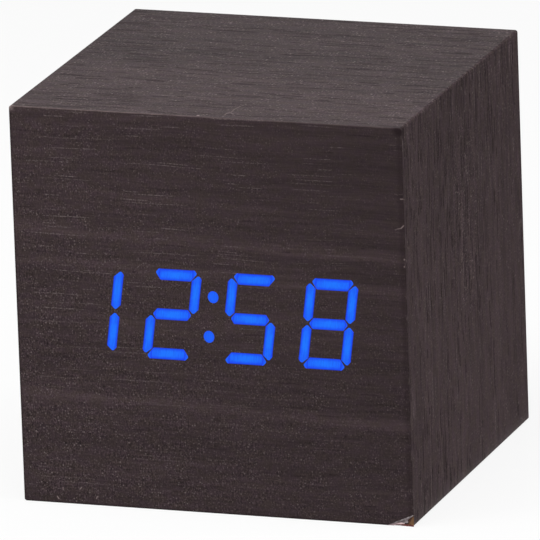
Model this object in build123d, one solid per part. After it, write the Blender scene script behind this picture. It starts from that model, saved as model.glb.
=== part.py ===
from build123d import *
import math
import os

# A small desk clock: a fibreboard sleeve with two inset boards, all under printed wood film. A display of
# four glowing digits shines through the front film, the main board with three buttons and the power socket
# stands behind the rear board, and a bay for three cells opens in the underside.
# Millimetres. Origin at the middle of the underside, front towards -Y, +X to the right seen from the front.

# Cabinet
film_thickness = 0.3
wall_thickness = 4.0
front_board_thickness = 3.0
rear_board_thickness = 3.0
board_fit = 0.1
corner_radius = 0.4
film_edge_radius = 0.15
side_room = 0.76
wiring_room = 36.6

# Chipped corner, low on the right of the front
chip_width = 4.3
chip_height = 1.9
chip_depth = 0.5

# Digits, as they glow on the front film
digit_count = 4
digit_pitch = 12.37
digit_height = 14.2
digit_width = 8.2
digit_slant_degrees = 8.0
stroke_rounding = 0.32
display_drop = 0.13
dot_width = 1.68
dot_height = 1.87
dot_spacing = 6.24

# Display module
diffuser_thickness = 0.3
reflector_depth = 6.5
reflector_side_rim = 0.4
reflector_end_rim = 2.4
window_fit = 0.15
display_board_thickness = 1.2
display_board_rim = 0.8
display_screw_strip = 4.0
display_screw_inset = 3.5
led_length = 1.6
led_width = 0.8
led_height = 0.6
driver_length = 10.0
driver_width = 4.0
driver_height = 1.6
driver_inset = 11.0

# Screws and spacers that hold both circuit boards
screw_radius = 1.0
screw_head_radius = 1.7
screw_head_height = 1.2
screw_slot_width = 0.4
screw_slot_depth = 0.6
screw_fit = 0.02
screw_bite = 2.3
spacer_radius = 1.8

# Main board
main_board_width = 46.0
main_board_height = 36.0
main_board_thickness = 1.6
main_board_above_box = 1.7
main_screw_inset = 2.5
pad_height = 2.0
pad_from_middle = 8.0

# Buttons and their switches
button_pitch = 12.0
button_above_middle = 8.0
button_radius = 2.3
button_hole_gap = 0.25
button_proud = 0.5
button_edge_radius = 0.45
button_flange_radius = 3.2
button_flange_thickness = 0.9
button_seat_gap = 0.3
button_shank_radius = 1.5
button_shank_length = 1.7
button_travel = 0.3
switch_side = 6.0
switch_height = 3.5
plunger_radius = 1.6
plunger_gap = 0.25
plunger_proud = 0.8
plunger_length = 2.6
plunger_room_below = 0.5

# Power socket
socket_side = 9.0
socket_below_middle = 7.0
socket_nose_radius = 2.8
socket_bore_radius = 1.8
socket_bore_depth = 9.5
socket_pin_radius = 0.65
socket_pin_length = 8.8
socket_recess = 0.2
socket_fit = 0.2

# Parts on the main board
chip_pin_count = 14
chip_pin_pitch = 1.27
chip_pin_width = 0.45
chip_pin_reach = 1.0
chip_pin_thickness = 0.3
chip_body_width = 7.5
chip_body_height = 2.3
chip_lift = 0.3
chip_inset = 8.6
crystal_radius = 1.0
crystal_length = 6.0
crystal_from_middle = 2.0
crystal_below_middle = 13.0
capacitor_radius = 2.5
capacitor_length = 7.0
capacitor_pitch = 6.5
capacitor_inset = 9.25
capacitor_below_middle = 6.0
regulator_length = 4.5
regulator_width = 2.5
regulator_height = 1.5
regulator_inset = 9.0
regulator_below_middle = 13.0
buzzer_radius = 4.5
buzzer_height = 5.5
buzzer_hole_radius = 0.8
buzzer_hole_depth = 2.0
buzzer_inset = 8.6
buzzer_above_middle = 9.0
microphone_radius = 3.0
microphone_height = 2.7
microphone_hole_radius = 0.5
microphone_hole_depth = 0.8
microphone_inset = 9.0
microphone_above_middle = 13.2
sensor_radius = 1.1
sensor_height = 3.0
sensor_inset = 9.0
sensor_below_middle = 13.5

# Ribbon cable between the two boards
connector_width = 11.0
connector_height = 4.0
connector_depth = 4.5
connector_above_display = 6.0
ribbon_width = 9.0
ribbon_thickness = 0.8
ribbon_dip = 9.0
ribbon_entry_share = 0.235
ribbon_slope_share = 0.38

# Battery bay
cell_count = 3
cell_diameter = 10.5
cell_length = 44.5
cell_end_length = 0.9
cell_end_radius = 1.9
cell_edge_radius = 0.4
cell_gap = 0.3
cell_rest_gap = 0.2
spring_length = 3.4
spring_radius = 3.2
spring_wire = 0.4
plate_thickness = 0.3
plate_rim = 1.0
tab_width = 3.0
tab_rise = 2.0
tab_fit = 0.1
box_wall = 1.0
box_fit = 0.15
bay_recess = 0.1
flange_thickness = 1.4
flange_end_lip = 1.8
flange_side_lip = 4.0
box_screw_radius = 0.9
box_screw_head_radius = 1.7
box_screw_head_height = 0.9
box_screw_length = 3.7
box_screw_inset = 5.5
finger_notch_radius = 4.5
finger_notch_depth = 0.9

# Battery door
door_thickness = 1.6
door_gap = 0.3
hinge_pin_radius = 0.6
hinge_pin_length = 0.8
hinge_pin_clearance = 0.05
hinge_hole_spare = 0.15
tongue_width = 10.0
tongue_length = 7.0
tongue_slit = 0.6
groove_count = 4
groove_pitch = 1.2
groove_width = 0.5
groove_depth = 0.3
groove_from_edge = 1.4

# Battery leads
lead_radius = 0.6
lead_exit = 5.0
lead_entry = 4.0
lead_above_box = 1.3
lead_bow = 2.0
lead_lift = 1.2
corner_run_share = 0.45

overrun = 1.0

# Sizes that follow
bay_length = cell_length + spring_length + 2 * plate_thickness
bay_width = cell_count * cell_diameter + (cell_count + 1) * cell_gap
box_length = bay_length + 2 * box_wall
box_width = bay_width + 2 * box_wall
reflector_width = digit_count * digit_pitch + 2 * reflector_side_rim
reflector_height = digit_height + 2 * reflector_end_rim
display_board_width = reflector_width + 2 * display_board_rim
display_board_height = reflector_height + 2 * display_screw_strip
display_spacer_length = diffuser_thickness + reflector_depth - front_board_thickness
main_spacer_length = (
    switch_height + plunger_proud + button_shank_length + button_flange_thickness + button_seat_gap
)
inner_width = max(box_length, display_board_width) + 2 * side_room
inner_depth = (
    display_spacer_length + display_board_thickness + wiring_room + main_board_thickness + main_spacer_length
)
cabinet_width = inner_width + 2 * (wall_thickness + film_thickness)
cabinet_height = cabinet_width
cabinet_depth = inner_depth + front_board_thickness + rear_board_thickness + 2 * film_thickness

# Places that follow
middle_height = cabinet_height / 2
front_face = -cabinet_depth / 2
rear_face = cabinet_depth / 2
sleeve_front = front_face + film_thickness
sleeve_rear = rear_face - film_thickness
front_board_back = sleeve_front + front_board_thickness
rear_board_inside = sleeve_rear - rear_board_thickness
display_height = middle_height - display_drop
reflector_front = sleeve_front + diffuser_thickness
display_board_front = reflector_front + reflector_depth
display_board_back = display_board_front + display_board_thickness
main_board_rear = rear_board_inside - main_spacer_length
main_board_front = main_board_rear - main_board_thickness
door_top = bay_recess + door_thickness
bay_roof = door_top + cell_diameter + 2 * cell_rest_gap
box_top = bay_roof + box_wall
main_board_bottom = box_top + main_board_above_box
main_board_middle = main_board_bottom + main_board_height / 2
button_height = main_board_middle + button_above_middle
socket_height = main_board_middle - socket_below_middle
hinge_front = -bay_width / 2 + door_gap + door_thickness / 2
hinge_height = bay_recess + door_thickness / 2

SIDES = {"top": (0, 1), "bottom": (0, -1), "left": (-1, 0), "right": (1, 0)}

# Seven-segment strokes: corners as shares of half a digit's width and half its height. The other strokes of
# a digit are these three mirrored.
TOP_BAR_SHARES = ((-0.80, 0.923), (-0.695, 1), (0.695, 1), (0.80, 0.923), (0.585, 0.751), (-0.585, 0.751))
MIDDLE_BAR_SHARES = (
    (-0.744, 0), (-0.598, 0.122), (0.598, 0.122), (0.744, 0), (0.598, -0.122), (-0.598, -0.122)
)
UPRIGHT_SHARES = (
    (-0.81, 0.027), (-1, 0.141), (-1, 0.803), (-0.878, 0.894), (-0.622, 0.761), (-0.622, 0.134)
)
STROKES = {
    "top": (TOP_BAR_SHARES, 1, 1),
    "middle": (MIDDLE_BAR_SHARES, 1, 1),
    "bottom": (TOP_BAR_SHARES, 1, -1),
    "upper_left": (UPRIGHT_SHARES, 1, 1),
    "upper_right": (UPRIGHT_SHARES, -1, 1),
    "lower_left": (UPRIGHT_SHARES, 1, -1),
    "lower_right": (UPRIGHT_SHARES, -1, -1),
}
LIT = {
    "hours_tens": ("upper_right", "lower_right"),
    "hours_units": ("top", "upper_right", "middle", "lower_left", "bottom"),
    "minutes_tens": ("top", "upper_left", "middle", "lower_right", "bottom"),
    "minutes_units": tuple(STROKES),
}


def block(low, high):
    """A box between two opposite corners."""
    size = [b - a for a, b in zip(low, high)]
    return Pos(*low) * Box(*size, align=(Align.MIN, Align.MIN, Align.MIN))


def rod(start, direction, radius, length):
    """A round bar from a point along a direction."""
    return extrude(Plane(origin=start, z_dir=direction) * Circle(radius), amount=length)


def along_depth(outline, near, far):
    """Carries an outline drawn in X and Z from one depth to another."""
    plane = Plane(origin=(0, near, 0), x_dir=(1, 0, 0), z_dir=(0, -1, 0))
    return extrude(plane * outline, amount=near - far)


def group(pieces):
    """Keeps separate solids together in one shape."""
    return Compound([solid for piece in pieces for solid in piece.solids()])


def square_places(from_middle_x, from_middle_z, middle):
    """The four corners of a rectangle of screws."""
    return [(x, middle + z) for x in (-from_middle_x, from_middle_x) for z in (-from_middle_z, from_middle_z)]


def mitred_panel(side, half_width, half_height, thickness):
    """One wall of the sleeve, cut at 45 degrees at its two folds."""
    across, up = SIDES[side]
    corners = []
    for inset, order in ((0, (-1, 1)), (thickness, (1, -1))):
        for sign in order:
            x = (across or sign) * (half_width - inset)
            z = (up or sign) * (half_height - inset)
            corners.append((x, middle_height + z))
    return along_depth(make_face(Polyline(*corners, close=True)), sleeve_front, sleeve_rear)


def chip_cut(inset, near, far):
    """The wedge that is missing from the chipped corner."""
    right = cabinet_width / 2 - inset
    slope = chip_height / chip_width
    low_x = cabinet_width / 2 - chip_width
    corners = ((low_x, 0), (right, (right - low_x) * slope), (right, -overrun), (low_x, -overrun))
    return along_depth(make_face(Polyline(*corners, close=True)), near, far)


def boards_chip():
    """The wedge cut into the boards and the lower film, inside the film of the right side."""
    return chip_cut(film_thickness, sleeve_front - overrun, sleeve_front + chip_depth)


def bay_opening():
    """The hole and rebate in the bottom board that the battery box drops into."""
    half_x = box_length / 2 + box_fit
    half_y = box_width / 2 + box_fit
    through = block((-half_x, -half_y, -overrun), (half_x, half_y, film_thickness + wall_thickness + overrun))
    return through + flange_space()


def flange_space():
    """The room of the battery box's flange."""
    half_x = box_length / 2 + flange_end_lip + box_fit
    half_y = box_width / 2 + flange_side_lip + box_fit
    return block((-half_x, -half_y, -overrun), (half_x, half_y, bay_recess + flange_thickness))


def box_screw_places():
    """Middles of the battery box's four screws, in X and Y."""
    x = box_length / 2 - box_screw_inset
    y = box_width / 2 + flange_side_lip / 2
    return [(a, b) for a in (-x, x) for b in (-y, y)]


def sleeve_board(side):
    """A fibreboard wall of the sleeve."""
    half_width = cabinet_width / 2 - film_thickness
    half_height = cabinet_height / 2 - film_thickness
    board = mitred_panel(side, half_width, half_height, wall_thickness)
    if side == "bottom":
        board -= bay_opening()
        for x, y in box_screw_places():
            board -= rod((x, y, 0), (0, 0, 1), box_screw_radius + screw_fit, bay_recess + box_screw_length)
    if side in ("bottom", "right"):
        board -= boards_chip()
    return board


def sleeve_film(side):
    """The wood film on one wall of the sleeve, rounded at its outer folds."""
    film = mitred_panel(side, cabinet_width / 2, cabinet_height / 2, film_thickness)
    rounded = Pos(0, middle_height) * RectangleRounded(cabinet_width, cabinet_height, corner_radius)
    film &= along_depth(rounded, sleeve_front, sleeve_rear)
    if side == "bottom":
        film -= flange_space()
        film -= boards_chip()
    return film


def face_film(near, far, outer):
    """A sheet of film over the whole front or rear, its outer rim slightly rounded."""
    rounded = Pos(0, middle_height) * RectangleRounded(cabinet_width, cabinet_height, corner_radius)
    film = along_depth(rounded, near, far)
    rim = film.edges().filter_by_position(Axis.Y, outer, outer)
    return fillet(rim, film_edge_radius)


def stroke_outline(stroke, digit_x):
    """The slanted outline of one stroke, in X and Z."""
    shares, mirror_x, mirror_z = STROKES[stroke]
    slant = math.tan(math.radians(digit_slant_degrees))
    corners = []
    for share_x, share_z in shares:
        z = mirror_z * share_z * digit_height / 2
        x = mirror_x * share_x * digit_width / 2
        corners.append((digit_x + x + z * slant, display_height + z))
    return make_face(Polyline(*corners, close=True))


def digit_places():
    """The middle of each digit, from left to right."""
    return [(number - (digit_count - 1) / 2) * digit_pitch for number in range(digit_count)]


def dot_places():
    """The middles of the colon's two dots."""
    lean = math.tan(math.radians(digit_slant_degrees)) * dot_spacing / 2
    return [(lean, display_height + dot_spacing / 2), (-lean, display_height - dot_spacing / 2)]


def lit_digit(name, digit_x):
    """The strokes of one digit that glow, each the film's own thickness."""
    strokes = []
    for stroke in LIT[name]:
        outline = stroke_outline(stroke, digit_x)
        outline = fillet(outline.vertices(), stroke_rounding)
        strokes.append(along_depth(outline, front_face, sleeve_front))
    return group(strokes)


def dot(place, near, far):
    """One dot of the colon."""
    return along_depth(Pos(*place) * Ellipse(dot_width / 2, dot_height / 2), near, far)


def front_film(lit_pieces):
    """The front's sheet of film, open where its strokes and dots glow, torn at the chipped corner."""
    film = face_film(front_face, sleeve_front, front_face)
    film -= chip_cut(-overrun, front_face - overrun, sleeve_front + overrun)
    return film - [solid for piece in lit_pieces for solid in piece.solids()]


def rear_film():
    """The rear's sheet of film, with the holes of the buttons and the socket."""
    return face_film(sleeve_rear, rear_face, rear_face) - rear_holes()


def rear_holes():
    """Holes through the rear board and film."""
    start = rear_board_inside - overrun
    length = rear_face + overrun - start
    radius = button_radius + button_hole_gap
    holes = [rod((x, start, button_height), (0, 1, 0), radius, length) for x in buttons()]
    holes.append(rod((0, start, socket_height), (0, 1, 0), socket_nose_radius + socket_fit, length))
    return holes


def inset_board(near, far):
    """A board that fits inside the sleeve's end."""
    half_x = inner_width / 2 - board_fit
    half_z = cabinet_height / 2 - film_thickness - wall_thickness - board_fit
    return block((-half_x, near, middle_height - half_z), (half_x, far, middle_height + half_z))


def front_board():
    """The board behind the front film, with the display's window and four blind screw holes."""
    board = inset_board(sleeve_front, front_board_back)
    half_x = reflector_width / 2 + window_fit
    half_z = reflector_height / 2 + window_fit
    board -= block(
        (-half_x, sleeve_front - overrun, display_height - half_z),
        (half_x, front_board_back + overrun, display_height + half_z),
    )
    for x, z in display_screw_places():
        board -= rod((x, front_board_back, z), (0, -1, 0), screw_radius + screw_fit, screw_bite)
    return board


def rear_board():
    """The board behind the rear film, with its holes and four blind screw holes."""
    board = inset_board(rear_board_inside, sleeve_rear) - rear_holes()
    for x, z in main_screw_places():
        board -= rod((x, rear_board_inside, z), (0, 1, 0), screw_radius + screw_fit, screw_bite)
    return board


def light_diffuser():
    """The white sheet between the front film and the reflector."""
    return reflector_plate(sleeve_front, reflector_front)


def reflector_plate(near, far):
    """A block of the reflector's outline."""
    half_x = reflector_width / 2
    half_z = reflector_height / 2
    return block((-half_x, near, display_height - half_z), (half_x, far, display_height + half_z))


def segment_reflector():
    """The block with a light well for each stroke and dot."""
    wells = []
    for digit_x in digit_places():
        for stroke in STROKES:
            outline = stroke_outline(stroke, digit_x)
            wells.append(along_depth(outline, reflector_front - overrun, display_board_front + overrun))
    for place in dot_places():
        wells.append(dot(place, reflector_front - overrun, display_board_front + overrun))
    return reflector_plate(reflector_front, display_board_front) - wells


def led_chips():
    """A small light chip at the foot of each well, on the display board."""
    chips = []
    for digit_x in digit_places():
        for stroke in STROKES:
            middle = stroke_outline(stroke, digit_x).center()
            upright = stroke.startswith(("upper", "lower"))
            chips.append(led_chip(middle.X, middle.Y, upright))
    for x, z in dot_places():
        chips.append(led_chip(x, z, True))
    return group(chips)


def led_chip(x, z, upright):
    """One light chip."""
    half_x = (led_width if upright else led_length) / 2
    half_z = (led_length if upright else led_width) / 2
    near = display_board_front - led_height
    return block((x - half_x, near, z - half_z), (x + half_x, display_board_front, z + half_z))


def display_screw_places():
    """Middles of the display board's four screws, in X and Z."""
    x = display_board_width / 2 - display_screw_inset
    z = reflector_height / 2 + display_screw_strip / 2
    return square_places(x, z, display_height)


def main_screw_places():
    """Middles of the main board's four screws, in X and Z."""
    x = main_board_width / 2 - main_screw_inset
    z = main_board_height / 2 - main_screw_inset
    return square_places(x, z, main_board_middle)


def circuit_board(half_x, half_z, middle, near, far, screw_places):
    """A flat board with four screw holes."""
    board = block((-half_x, near, middle - half_z), (half_x, far, middle + half_z))
    for x, z in screw_places:
        board -= rod((x, near - overrun, z), (0, 1, 0), screw_radius + screw_fit, far - near + 2 * overrun)
    return board


def display_board():
    """The circuit board that carries the light chips."""
    half_x = display_board_width / 2
    half_z = display_board_height / 2
    places = display_screw_places()
    return circuit_board(half_x, half_z, display_height, display_board_front, display_board_back, places)


def main_board():
    """The circuit board behind the rear board."""
    half_x = main_board_width / 2
    half_z = main_board_height / 2
    places = main_screw_places()
    return circuit_board(half_x, half_z, main_board_middle, main_board_front, main_board_rear, places)


def spacers(places, near, length):
    """Plain sleeves that hold a circuit board off a cabinet board."""
    rings = []
    for x, z in places:
        ring = rod((x, near, z), (0, 1, 0), spacer_radius, length)
        rings.append(ring - rod((x, near, z), (0, 1, 0), screw_radius + screw_fit, length))
    return group(rings)


def board_screws(places, head_face, direction, length):
    """Pan-head screws with a cross slot. direction is -1 towards the front and 1 towards the rear."""
    screws = []
    for x, z in places:
        screw = rod((x, head_face, z), (0, direction, 0), screw_radius, length)
        head = rod((x, head_face, z), (0, -direction, 0), screw_head_radius, screw_head_height)
        top = head_face - direction * screw_head_height
        floor = top + direction * screw_slot_depth
        near, far = sorted((top - direction * overrun, floor))
        for half_x, half_z in ((screw_radius, screw_slot_width / 2), (screw_slot_width / 2, screw_radius)):
            head -= block((x - half_x, near, z - half_z), (x + half_x, far, z + half_z))
        screws.append(screw + head)
    return group(screws)


def board_block(middle_x, middle_z, width, height, face, depth):
    """A block on a circuit board, standing out of its face by depth (negative towards the front)."""
    near, far = sorted((face, face + depth))
    low = (middle_x - width / 2, near, middle_z - height / 2)
    return block(low, (middle_x + width / 2, far, middle_z + height / 2))


def display_driver():
    """The driver chip on the back of the display board."""
    x = driver_inset - display_board_width / 2
    return board_block(x, display_height, driver_length, driver_width, display_board_back, driver_height)


def clock_chip():
    """The clock's chip, with a row of pins on each long side."""
    length = chip_pin_count * chip_pin_pitch
    foot = main_board_front - chip_lift
    middle = main_board_width / 2 - chip_inset
    depth = chip_body_height - chip_lift
    chip = board_block(middle, main_board_middle, chip_body_width, length, foot, -depth)
    reach = chip_body_width + 2 * chip_pin_reach
    for number in range(chip_pin_count):
        z = main_board_middle + (number - (chip_pin_count - 1) / 2) * chip_pin_pitch
        shoulder = foot - chip_pin_thickness
        chip += board_block(middle, z, reach, chip_pin_width, shoulder, -chip_pin_thickness)
        for side in (-1, 1):
            x = middle + side * (reach - chip_pin_thickness) / 2
            chip += board_block(x, z, chip_pin_thickness, chip_pin_width, main_board_front, -2 * chip_lift)
    return chip


def clock_crystal():
    """The crystal, a small can lying on the main board."""
    start = (crystal_from_middle - crystal_length / 2, main_board_front - crystal_radius)
    return rod((*start, main_board_middle - crystal_below_middle), (1, 0, 0), crystal_radius, crystal_length)


def capacitors():
    """Two round capacitors standing on the main board."""
    cans = []
    for side in (-1, 1):
        x = capacitor_inset - main_board_width / 2 + side * capacitor_pitch / 2
        z = main_board_middle - capacitor_below_middle
        cans.append(rod((x, main_board_front, z), (0, -1, 0), capacitor_radius, capacitor_length))
    return group(cans)


def voltage_regulator():
    """The regulator, a small block on the main board."""
    x = regulator_inset - main_board_width / 2
    z = main_board_middle - regulator_below_middle
    return board_block(x, z, regulator_length, regulator_width, main_board_front, -regulator_height)


def round_part(x, z, radius, height, hole_radius, hole_depth):
    """A round part with a small hole in its face, standing on the front of the main board."""
    body = rod((x, main_board_front, z), (0, -1, 0), radius, height)
    top = main_board_front - height
    return body - rod((x, top, z), (0, 1, 0), hole_radius, hole_depth)


def alarm_buzzer():
    """The round buzzer with its sound hole."""
    x = buzzer_inset - main_board_width / 2
    z = main_board_middle + buzzer_above_middle
    return round_part(x, z, buzzer_radius, buzzer_height, buzzer_hole_radius, buzzer_hole_depth)


def microphone():
    """The microphone that hears a clap."""
    x = main_board_width / 2 - microphone_inset
    z = main_board_middle + microphone_above_middle
    hole = (microphone_hole_radius, microphone_hole_depth)
    return round_part(x, z, microphone_radius, microphone_height, *hole)


def temperature_sensor():
    """The temperature sensor, a round-nosed bead."""
    x = main_board_width / 2 - sensor_inset
    z = main_board_middle - sensor_below_middle
    bead = rod((x, main_board_front, z), (0, -1, 0), sensor_radius, sensor_height)
    end = main_board_front - sensor_height
    return fillet(bead.edges().filter_by_position(Axis.Y, end, end), sensor_radius / 2)


def buttons():
    """The middle of each button, from left to right seen from the front."""
    return (-button_pitch, 0, button_pitch)


def switch_housings():
    """The three switches' housings, each with the well of its plunger."""
    housings = []
    well = plunger_length - plunger_proud + button_travel + plunger_room_below
    top = main_board_rear + switch_height
    for x in buttons():
        housing = board_block(x, button_height, switch_side, switch_side, main_board_rear, switch_height)
        housing -= rod((x, top, button_height), (0, -1, 0), plunger_radius + plunger_gap, well)
        housings.append(housing)
    return group(housings)


def plunger(x):
    """A switch's plunger, which its button pushes in."""
    end = main_board_rear + switch_height + plunger_proud
    return rod((x, end, button_height), (0, -1, 0), plunger_radius, plunger_length)


def button(x):
    """A button cap: a shank on the plunger, a flange that keeps it in, and a cap through the rear board."""
    shank_start = main_board_rear + switch_height + plunger_proud
    flange_start = shank_start + button_shank_length
    cap_start = flange_start + button_flange_thickness
    cap = rod((x, cap_start, button_height), (0, 1, 0), button_radius, rear_face + button_proud - cap_start)
    rim = cap.edges().filter_by_position(Axis.Y, rear_face + button_proud, rear_face + button_proud)
    cap = fillet(rim, button_edge_radius)
    flange = rod((x, flange_start, button_height), (0, 1, 0), button_flange_radius, button_flange_thickness)
    shank = rod((x, shank_start, button_height), (0, 1, 0), button_shank_radius, button_shank_length)
    return cap + flange + shank


def power_socket():
    """The round power socket, whose nose passes through the rear board."""
    shoulder = rear_board_inside - socket_fit
    end = rear_face - socket_recess
    depth = shoulder - main_board_rear
    body = board_block(0, socket_height, socket_side, socket_side, main_board_rear, depth)
    body += rod((0, shoulder, socket_height), (0, 1, 0), socket_nose_radius, end - shoulder)
    return body - rod((0, end, socket_height), (0, -1, 0), socket_bore_radius, socket_bore_depth)


def socket_pin():
    """The power socket's middle pin."""
    foot = rear_face - socket_recess - socket_bore_depth
    end = foot + socket_pin_length
    pin = rod((0, foot, socket_height), (0, 1, 0), socket_pin_radius, socket_pin_length)
    return fillet(pin.edges().filter_by_position(Axis.Y, end, end), socket_pin_radius / 2)


def ribbon_places():
    """The middle depth of each connector's mouth, and the ribbon's height."""
    return (
        display_board_back + connector_depth,
        main_board_front - connector_depth,
        display_height + connector_above_display,
    )


def ribbon_connectors():
    """The ribbon's two connectors, one on each board."""
    z = ribbon_places()[2]
    return group(
        [
            board_block(0, z, connector_width, connector_height, display_board_back, connector_depth),
            board_block(0, z, connector_width, connector_height, main_board_front, -connector_depth),
        ]
    )


def rounded_path(name, points):
    """Straight runs joined by tangent arcs, each as large as its two runs allow."""
    points = [Vector(*point) for point in points]
    radii = []
    for before, corner, after in zip(points, points[1:], points[2:]):
        first = corner - before
        second = after - corner
        half_turn = math.radians(first.get_angle(second)) / 2
        radii.append(corner_run_share * min(first.length, second.length) / math.tan(half_turn))
    print(name, "radii", [round(radius, 2) for radius in radii])
    return FilletPolyline(*points, radius=radii)


def swept(name, points, section, across):
    """Carries a section along a rounded path and compares its volume with section times length."""
    path = rounded_path(name, points)
    start = Plane(origin=path @ 0, x_dir=across, z_dir=path % 0)
    solid = sweep(start * section, path=path)
    print(name, "volume", round(solid.volume, 2), "section times length", round(section.area * path.length, 2))
    return solid


def display_ribbon():
    """The flat cable that hangs in one dip between the two connectors."""
    near, far, height = ribbon_places()
    span = far - near
    low = height - ribbon_dip
    points = [
        (0, near, height),
        (0, near + span * ribbon_entry_share, height),
        (0, near + span * ribbon_slope_share, low),
        (0, far - span * ribbon_slope_share, low),
        (0, far - span * ribbon_entry_share, height),
        (0, far, height),
    ]
    return swept("display_ribbon", points, Rectangle(ribbon_width, ribbon_thickness), (1, 0, 0))


def cell_middle(number):
    """The depth of one cell's axis."""
    return (number - (cell_count - 1) / 2) * (cell_diameter + cell_gap)


def cell_height():
    """The height of the cells' axes."""
    return door_top + cell_rest_gap + cell_diameter / 2


def spring_side(number):
    """Which end of the bay a cell's spring is at: the cells lie head to tail."""
    return -1 if number % 2 == 0 else 1


def battery_cells():
    """Three cells lying head to tail."""
    cells = []
    for number in range(cell_count):
        side = spring_side(number)
        start = side * (bay_length / 2 - plate_thickness - spring_length)
        body_length = cell_length - cell_end_length
        place = (start, cell_middle(number), cell_height())
        body = rod(place, (-side, 0, 0), cell_diameter / 2, body_length)
        body = fillet(body.edges().filter_by(GeomType.CIRCLE), cell_edge_radius)
        end = (start - side * body_length, cell_middle(number), cell_height())
        cells.append(body + rod(end, (-side, 0, 0), cell_end_radius, cell_end_length))
    return group(cells)


def cell_springs():
    """The outer shape of each cell's spring, pressed between its plate and its cell."""
    springs = []
    for number in range(cell_count):
        side = spring_side(number)
        place = (side * (bay_length / 2 - plate_thickness), cell_middle(number), cell_height())
        coil = rod(place, (-side, 0, 0), spring_radius, spring_length)
        springs.append(coil - rod(place, (-side, 0, 0), spring_radius - spring_wire, spring_length))
    return group(springs)


def contact_plate(side, first, last):
    """A contact plate against the bay's end wall, over the cells from first to last."""
    wall = side * bay_length / 2
    low_x, high_x = sorted((wall, wall - side * plate_thickness))
    reach = cell_diameter / 2 - plate_rim
    return block(
        (low_x, cell_middle(first) - reach, cell_height() - reach),
        (high_x, cell_middle(last) + reach, cell_height() + reach),
    )


def solder_tab(side, number, gap):
    """The tab of a plate that passes up through the roof of the bay, with a gap all round."""
    wall = side * bay_length / 2
    low_x, high_x = sorted((wall + side * gap, wall - side * (plate_thickness + gap)))
    y = cell_middle(number)
    half_y = tab_width / 2 + gap
    return block((low_x, y - half_y, cell_height()), (high_x, y + half_y, box_top + tab_rise + gap))


def contact_plates():
    """Two single plates with solder tabs, and two plates that join neighbouring cells in a row."""
    last = cell_count - 1
    plates = [
        contact_plate(-1, 0, 0) + solder_tab(-1, 0, 0),
        contact_plate(1, last, last) + solder_tab(1, last, 0),
    ]
    for first in range(last):
        plates.append(contact_plate(-spring_side(first), first, first + 1))
    return group(plates)


def battery_box():
    """The plastic box of the bay: a flange in the underside, four walls and a roof."""
    outer_x = box_length / 2
    outer_y = box_width / 2
    flange_x = outer_x + flange_end_lip
    flange_y = outer_y + flange_side_lip
    box = block((-flange_x, -flange_y, bay_recess), (flange_x, flange_y, bay_recess + flange_thickness))
    box += block((-outer_x, -outer_y, bay_recess), (outer_x, outer_y, box_top))
    box -= block((-bay_length / 2, -bay_width / 2, -overrun), (bay_length / 2, bay_width / 2, bay_roof))
    box -= solder_tab(-1, 0, tab_fit)
    box -= solder_tab(1, cell_count - 1, tab_fit)
    hole_length = hinge_pin_length - door_gap + hinge_hole_spare
    for side in (-1, 1):
        start = (side * bay_length / 2, hinge_front, hinge_height)
        box -= rod(start, (side, 0, 0), hinge_pin_radius + hinge_pin_clearance, hole_length)
    for x, y in box_screw_places():
        box -= rod((x, y, 0), (0, 0, 1), box_screw_radius + screw_fit, flange_thickness + overrun)
        box -= screw_head(x, y, screw_fit)
    notch = (0, bay_width / 2, bay_recess - overrun)
    box -= rod(notch, (0, 0, 1), finger_notch_radius, finger_notch_depth + overrun)
    return box


def screw_head(x, y, gap):
    """The countersunk head of a battery box screw, or with a gap the seat cut for it."""
    head = Cone(
        box_screw_head_radius + gap,
        box_screw_radius + gap,
        box_screw_head_height,
        align=(Align.CENTER, Align.CENTER, Align.MIN),
    )
    return Pos(x, y, bay_recess) * head


def battery_box_screws():
    """Four countersunk screws that hold the box's flange to the bottom board."""
    screws = []
    for x, y in box_screw_places():
        screw = screw_head(x, y, 0) + rod((x, y, bay_recess), (0, 0, 1), box_screw_radius, box_screw_length)
        top = bay_recess + screw_slot_depth
        for half_x, half_y in ((screw_radius, screw_slot_width / 2), (screw_slot_width / 2, screw_radius)):
            screw -= block((x - half_x, y - half_y, 0), (x + half_x, y + half_y, top))
        screws.append(screw)
    return group(screws)


def battery_door():
    """The bay's door: round at its hinge edge, with two hinge pins and a springy tongue at the other edge."""
    half_x = bay_length / 2 - door_gap
    rear = bay_width / 2 - door_gap
    door = block((-half_x, hinge_front, bay_recess), (half_x, rear, door_top))
    door += rod((-half_x, hinge_front, hinge_height), (1, 0, 0), door_thickness / 2, 2 * half_x)
    for side in (-1, 1):
        pin_foot = (side * half_x, hinge_front, hinge_height)
        door += rod(pin_foot, (side, 0, 0), hinge_pin_radius, hinge_pin_length)
        middle = side * (tongue_width + tongue_slit) / 2
        door -= block(
            (middle - tongue_slit / 2, rear - tongue_length, bay_recess - overrun),
            (middle + tongue_slit / 2, rear + overrun, door_top + overrun),
        )
    for number in range(groove_count):
        y = rear - groove_from_edge - number * groove_pitch
        half_length = tongue_width / 2 - groove_from_edge
        door -= block(
            (-half_length, y - groove_width / 2, bay_recess - overrun),
            (half_length, y + groove_width / 2, bay_recess + groove_depth),
        )
    return door


def battery_lead(name, side, number):
    """A lead from a solder tab, over the battery box and up to its pad on the main board."""
    tab = (side * (bay_length / 2 - plate_thickness), cell_middle(number), box_top + lead_above_box)
    pad = (side * pad_from_middle, main_board_front, main_board_bottom + pad_height)
    leaving = (tab[0] - side * lead_exit, tab[1], tab[2])
    arriving = (pad[0], pad[1] - lead_entry, pad[2])
    middle = [(a + b) / 2 for a, b in zip(leaving, arriving)]
    middle[0] += side * lead_bow
    middle[2] += lead_lift
    return swept(name, [tab, leaving, tuple(middle), arriving, pad], Circle(lead_radius), (0, 0, 1))


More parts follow.
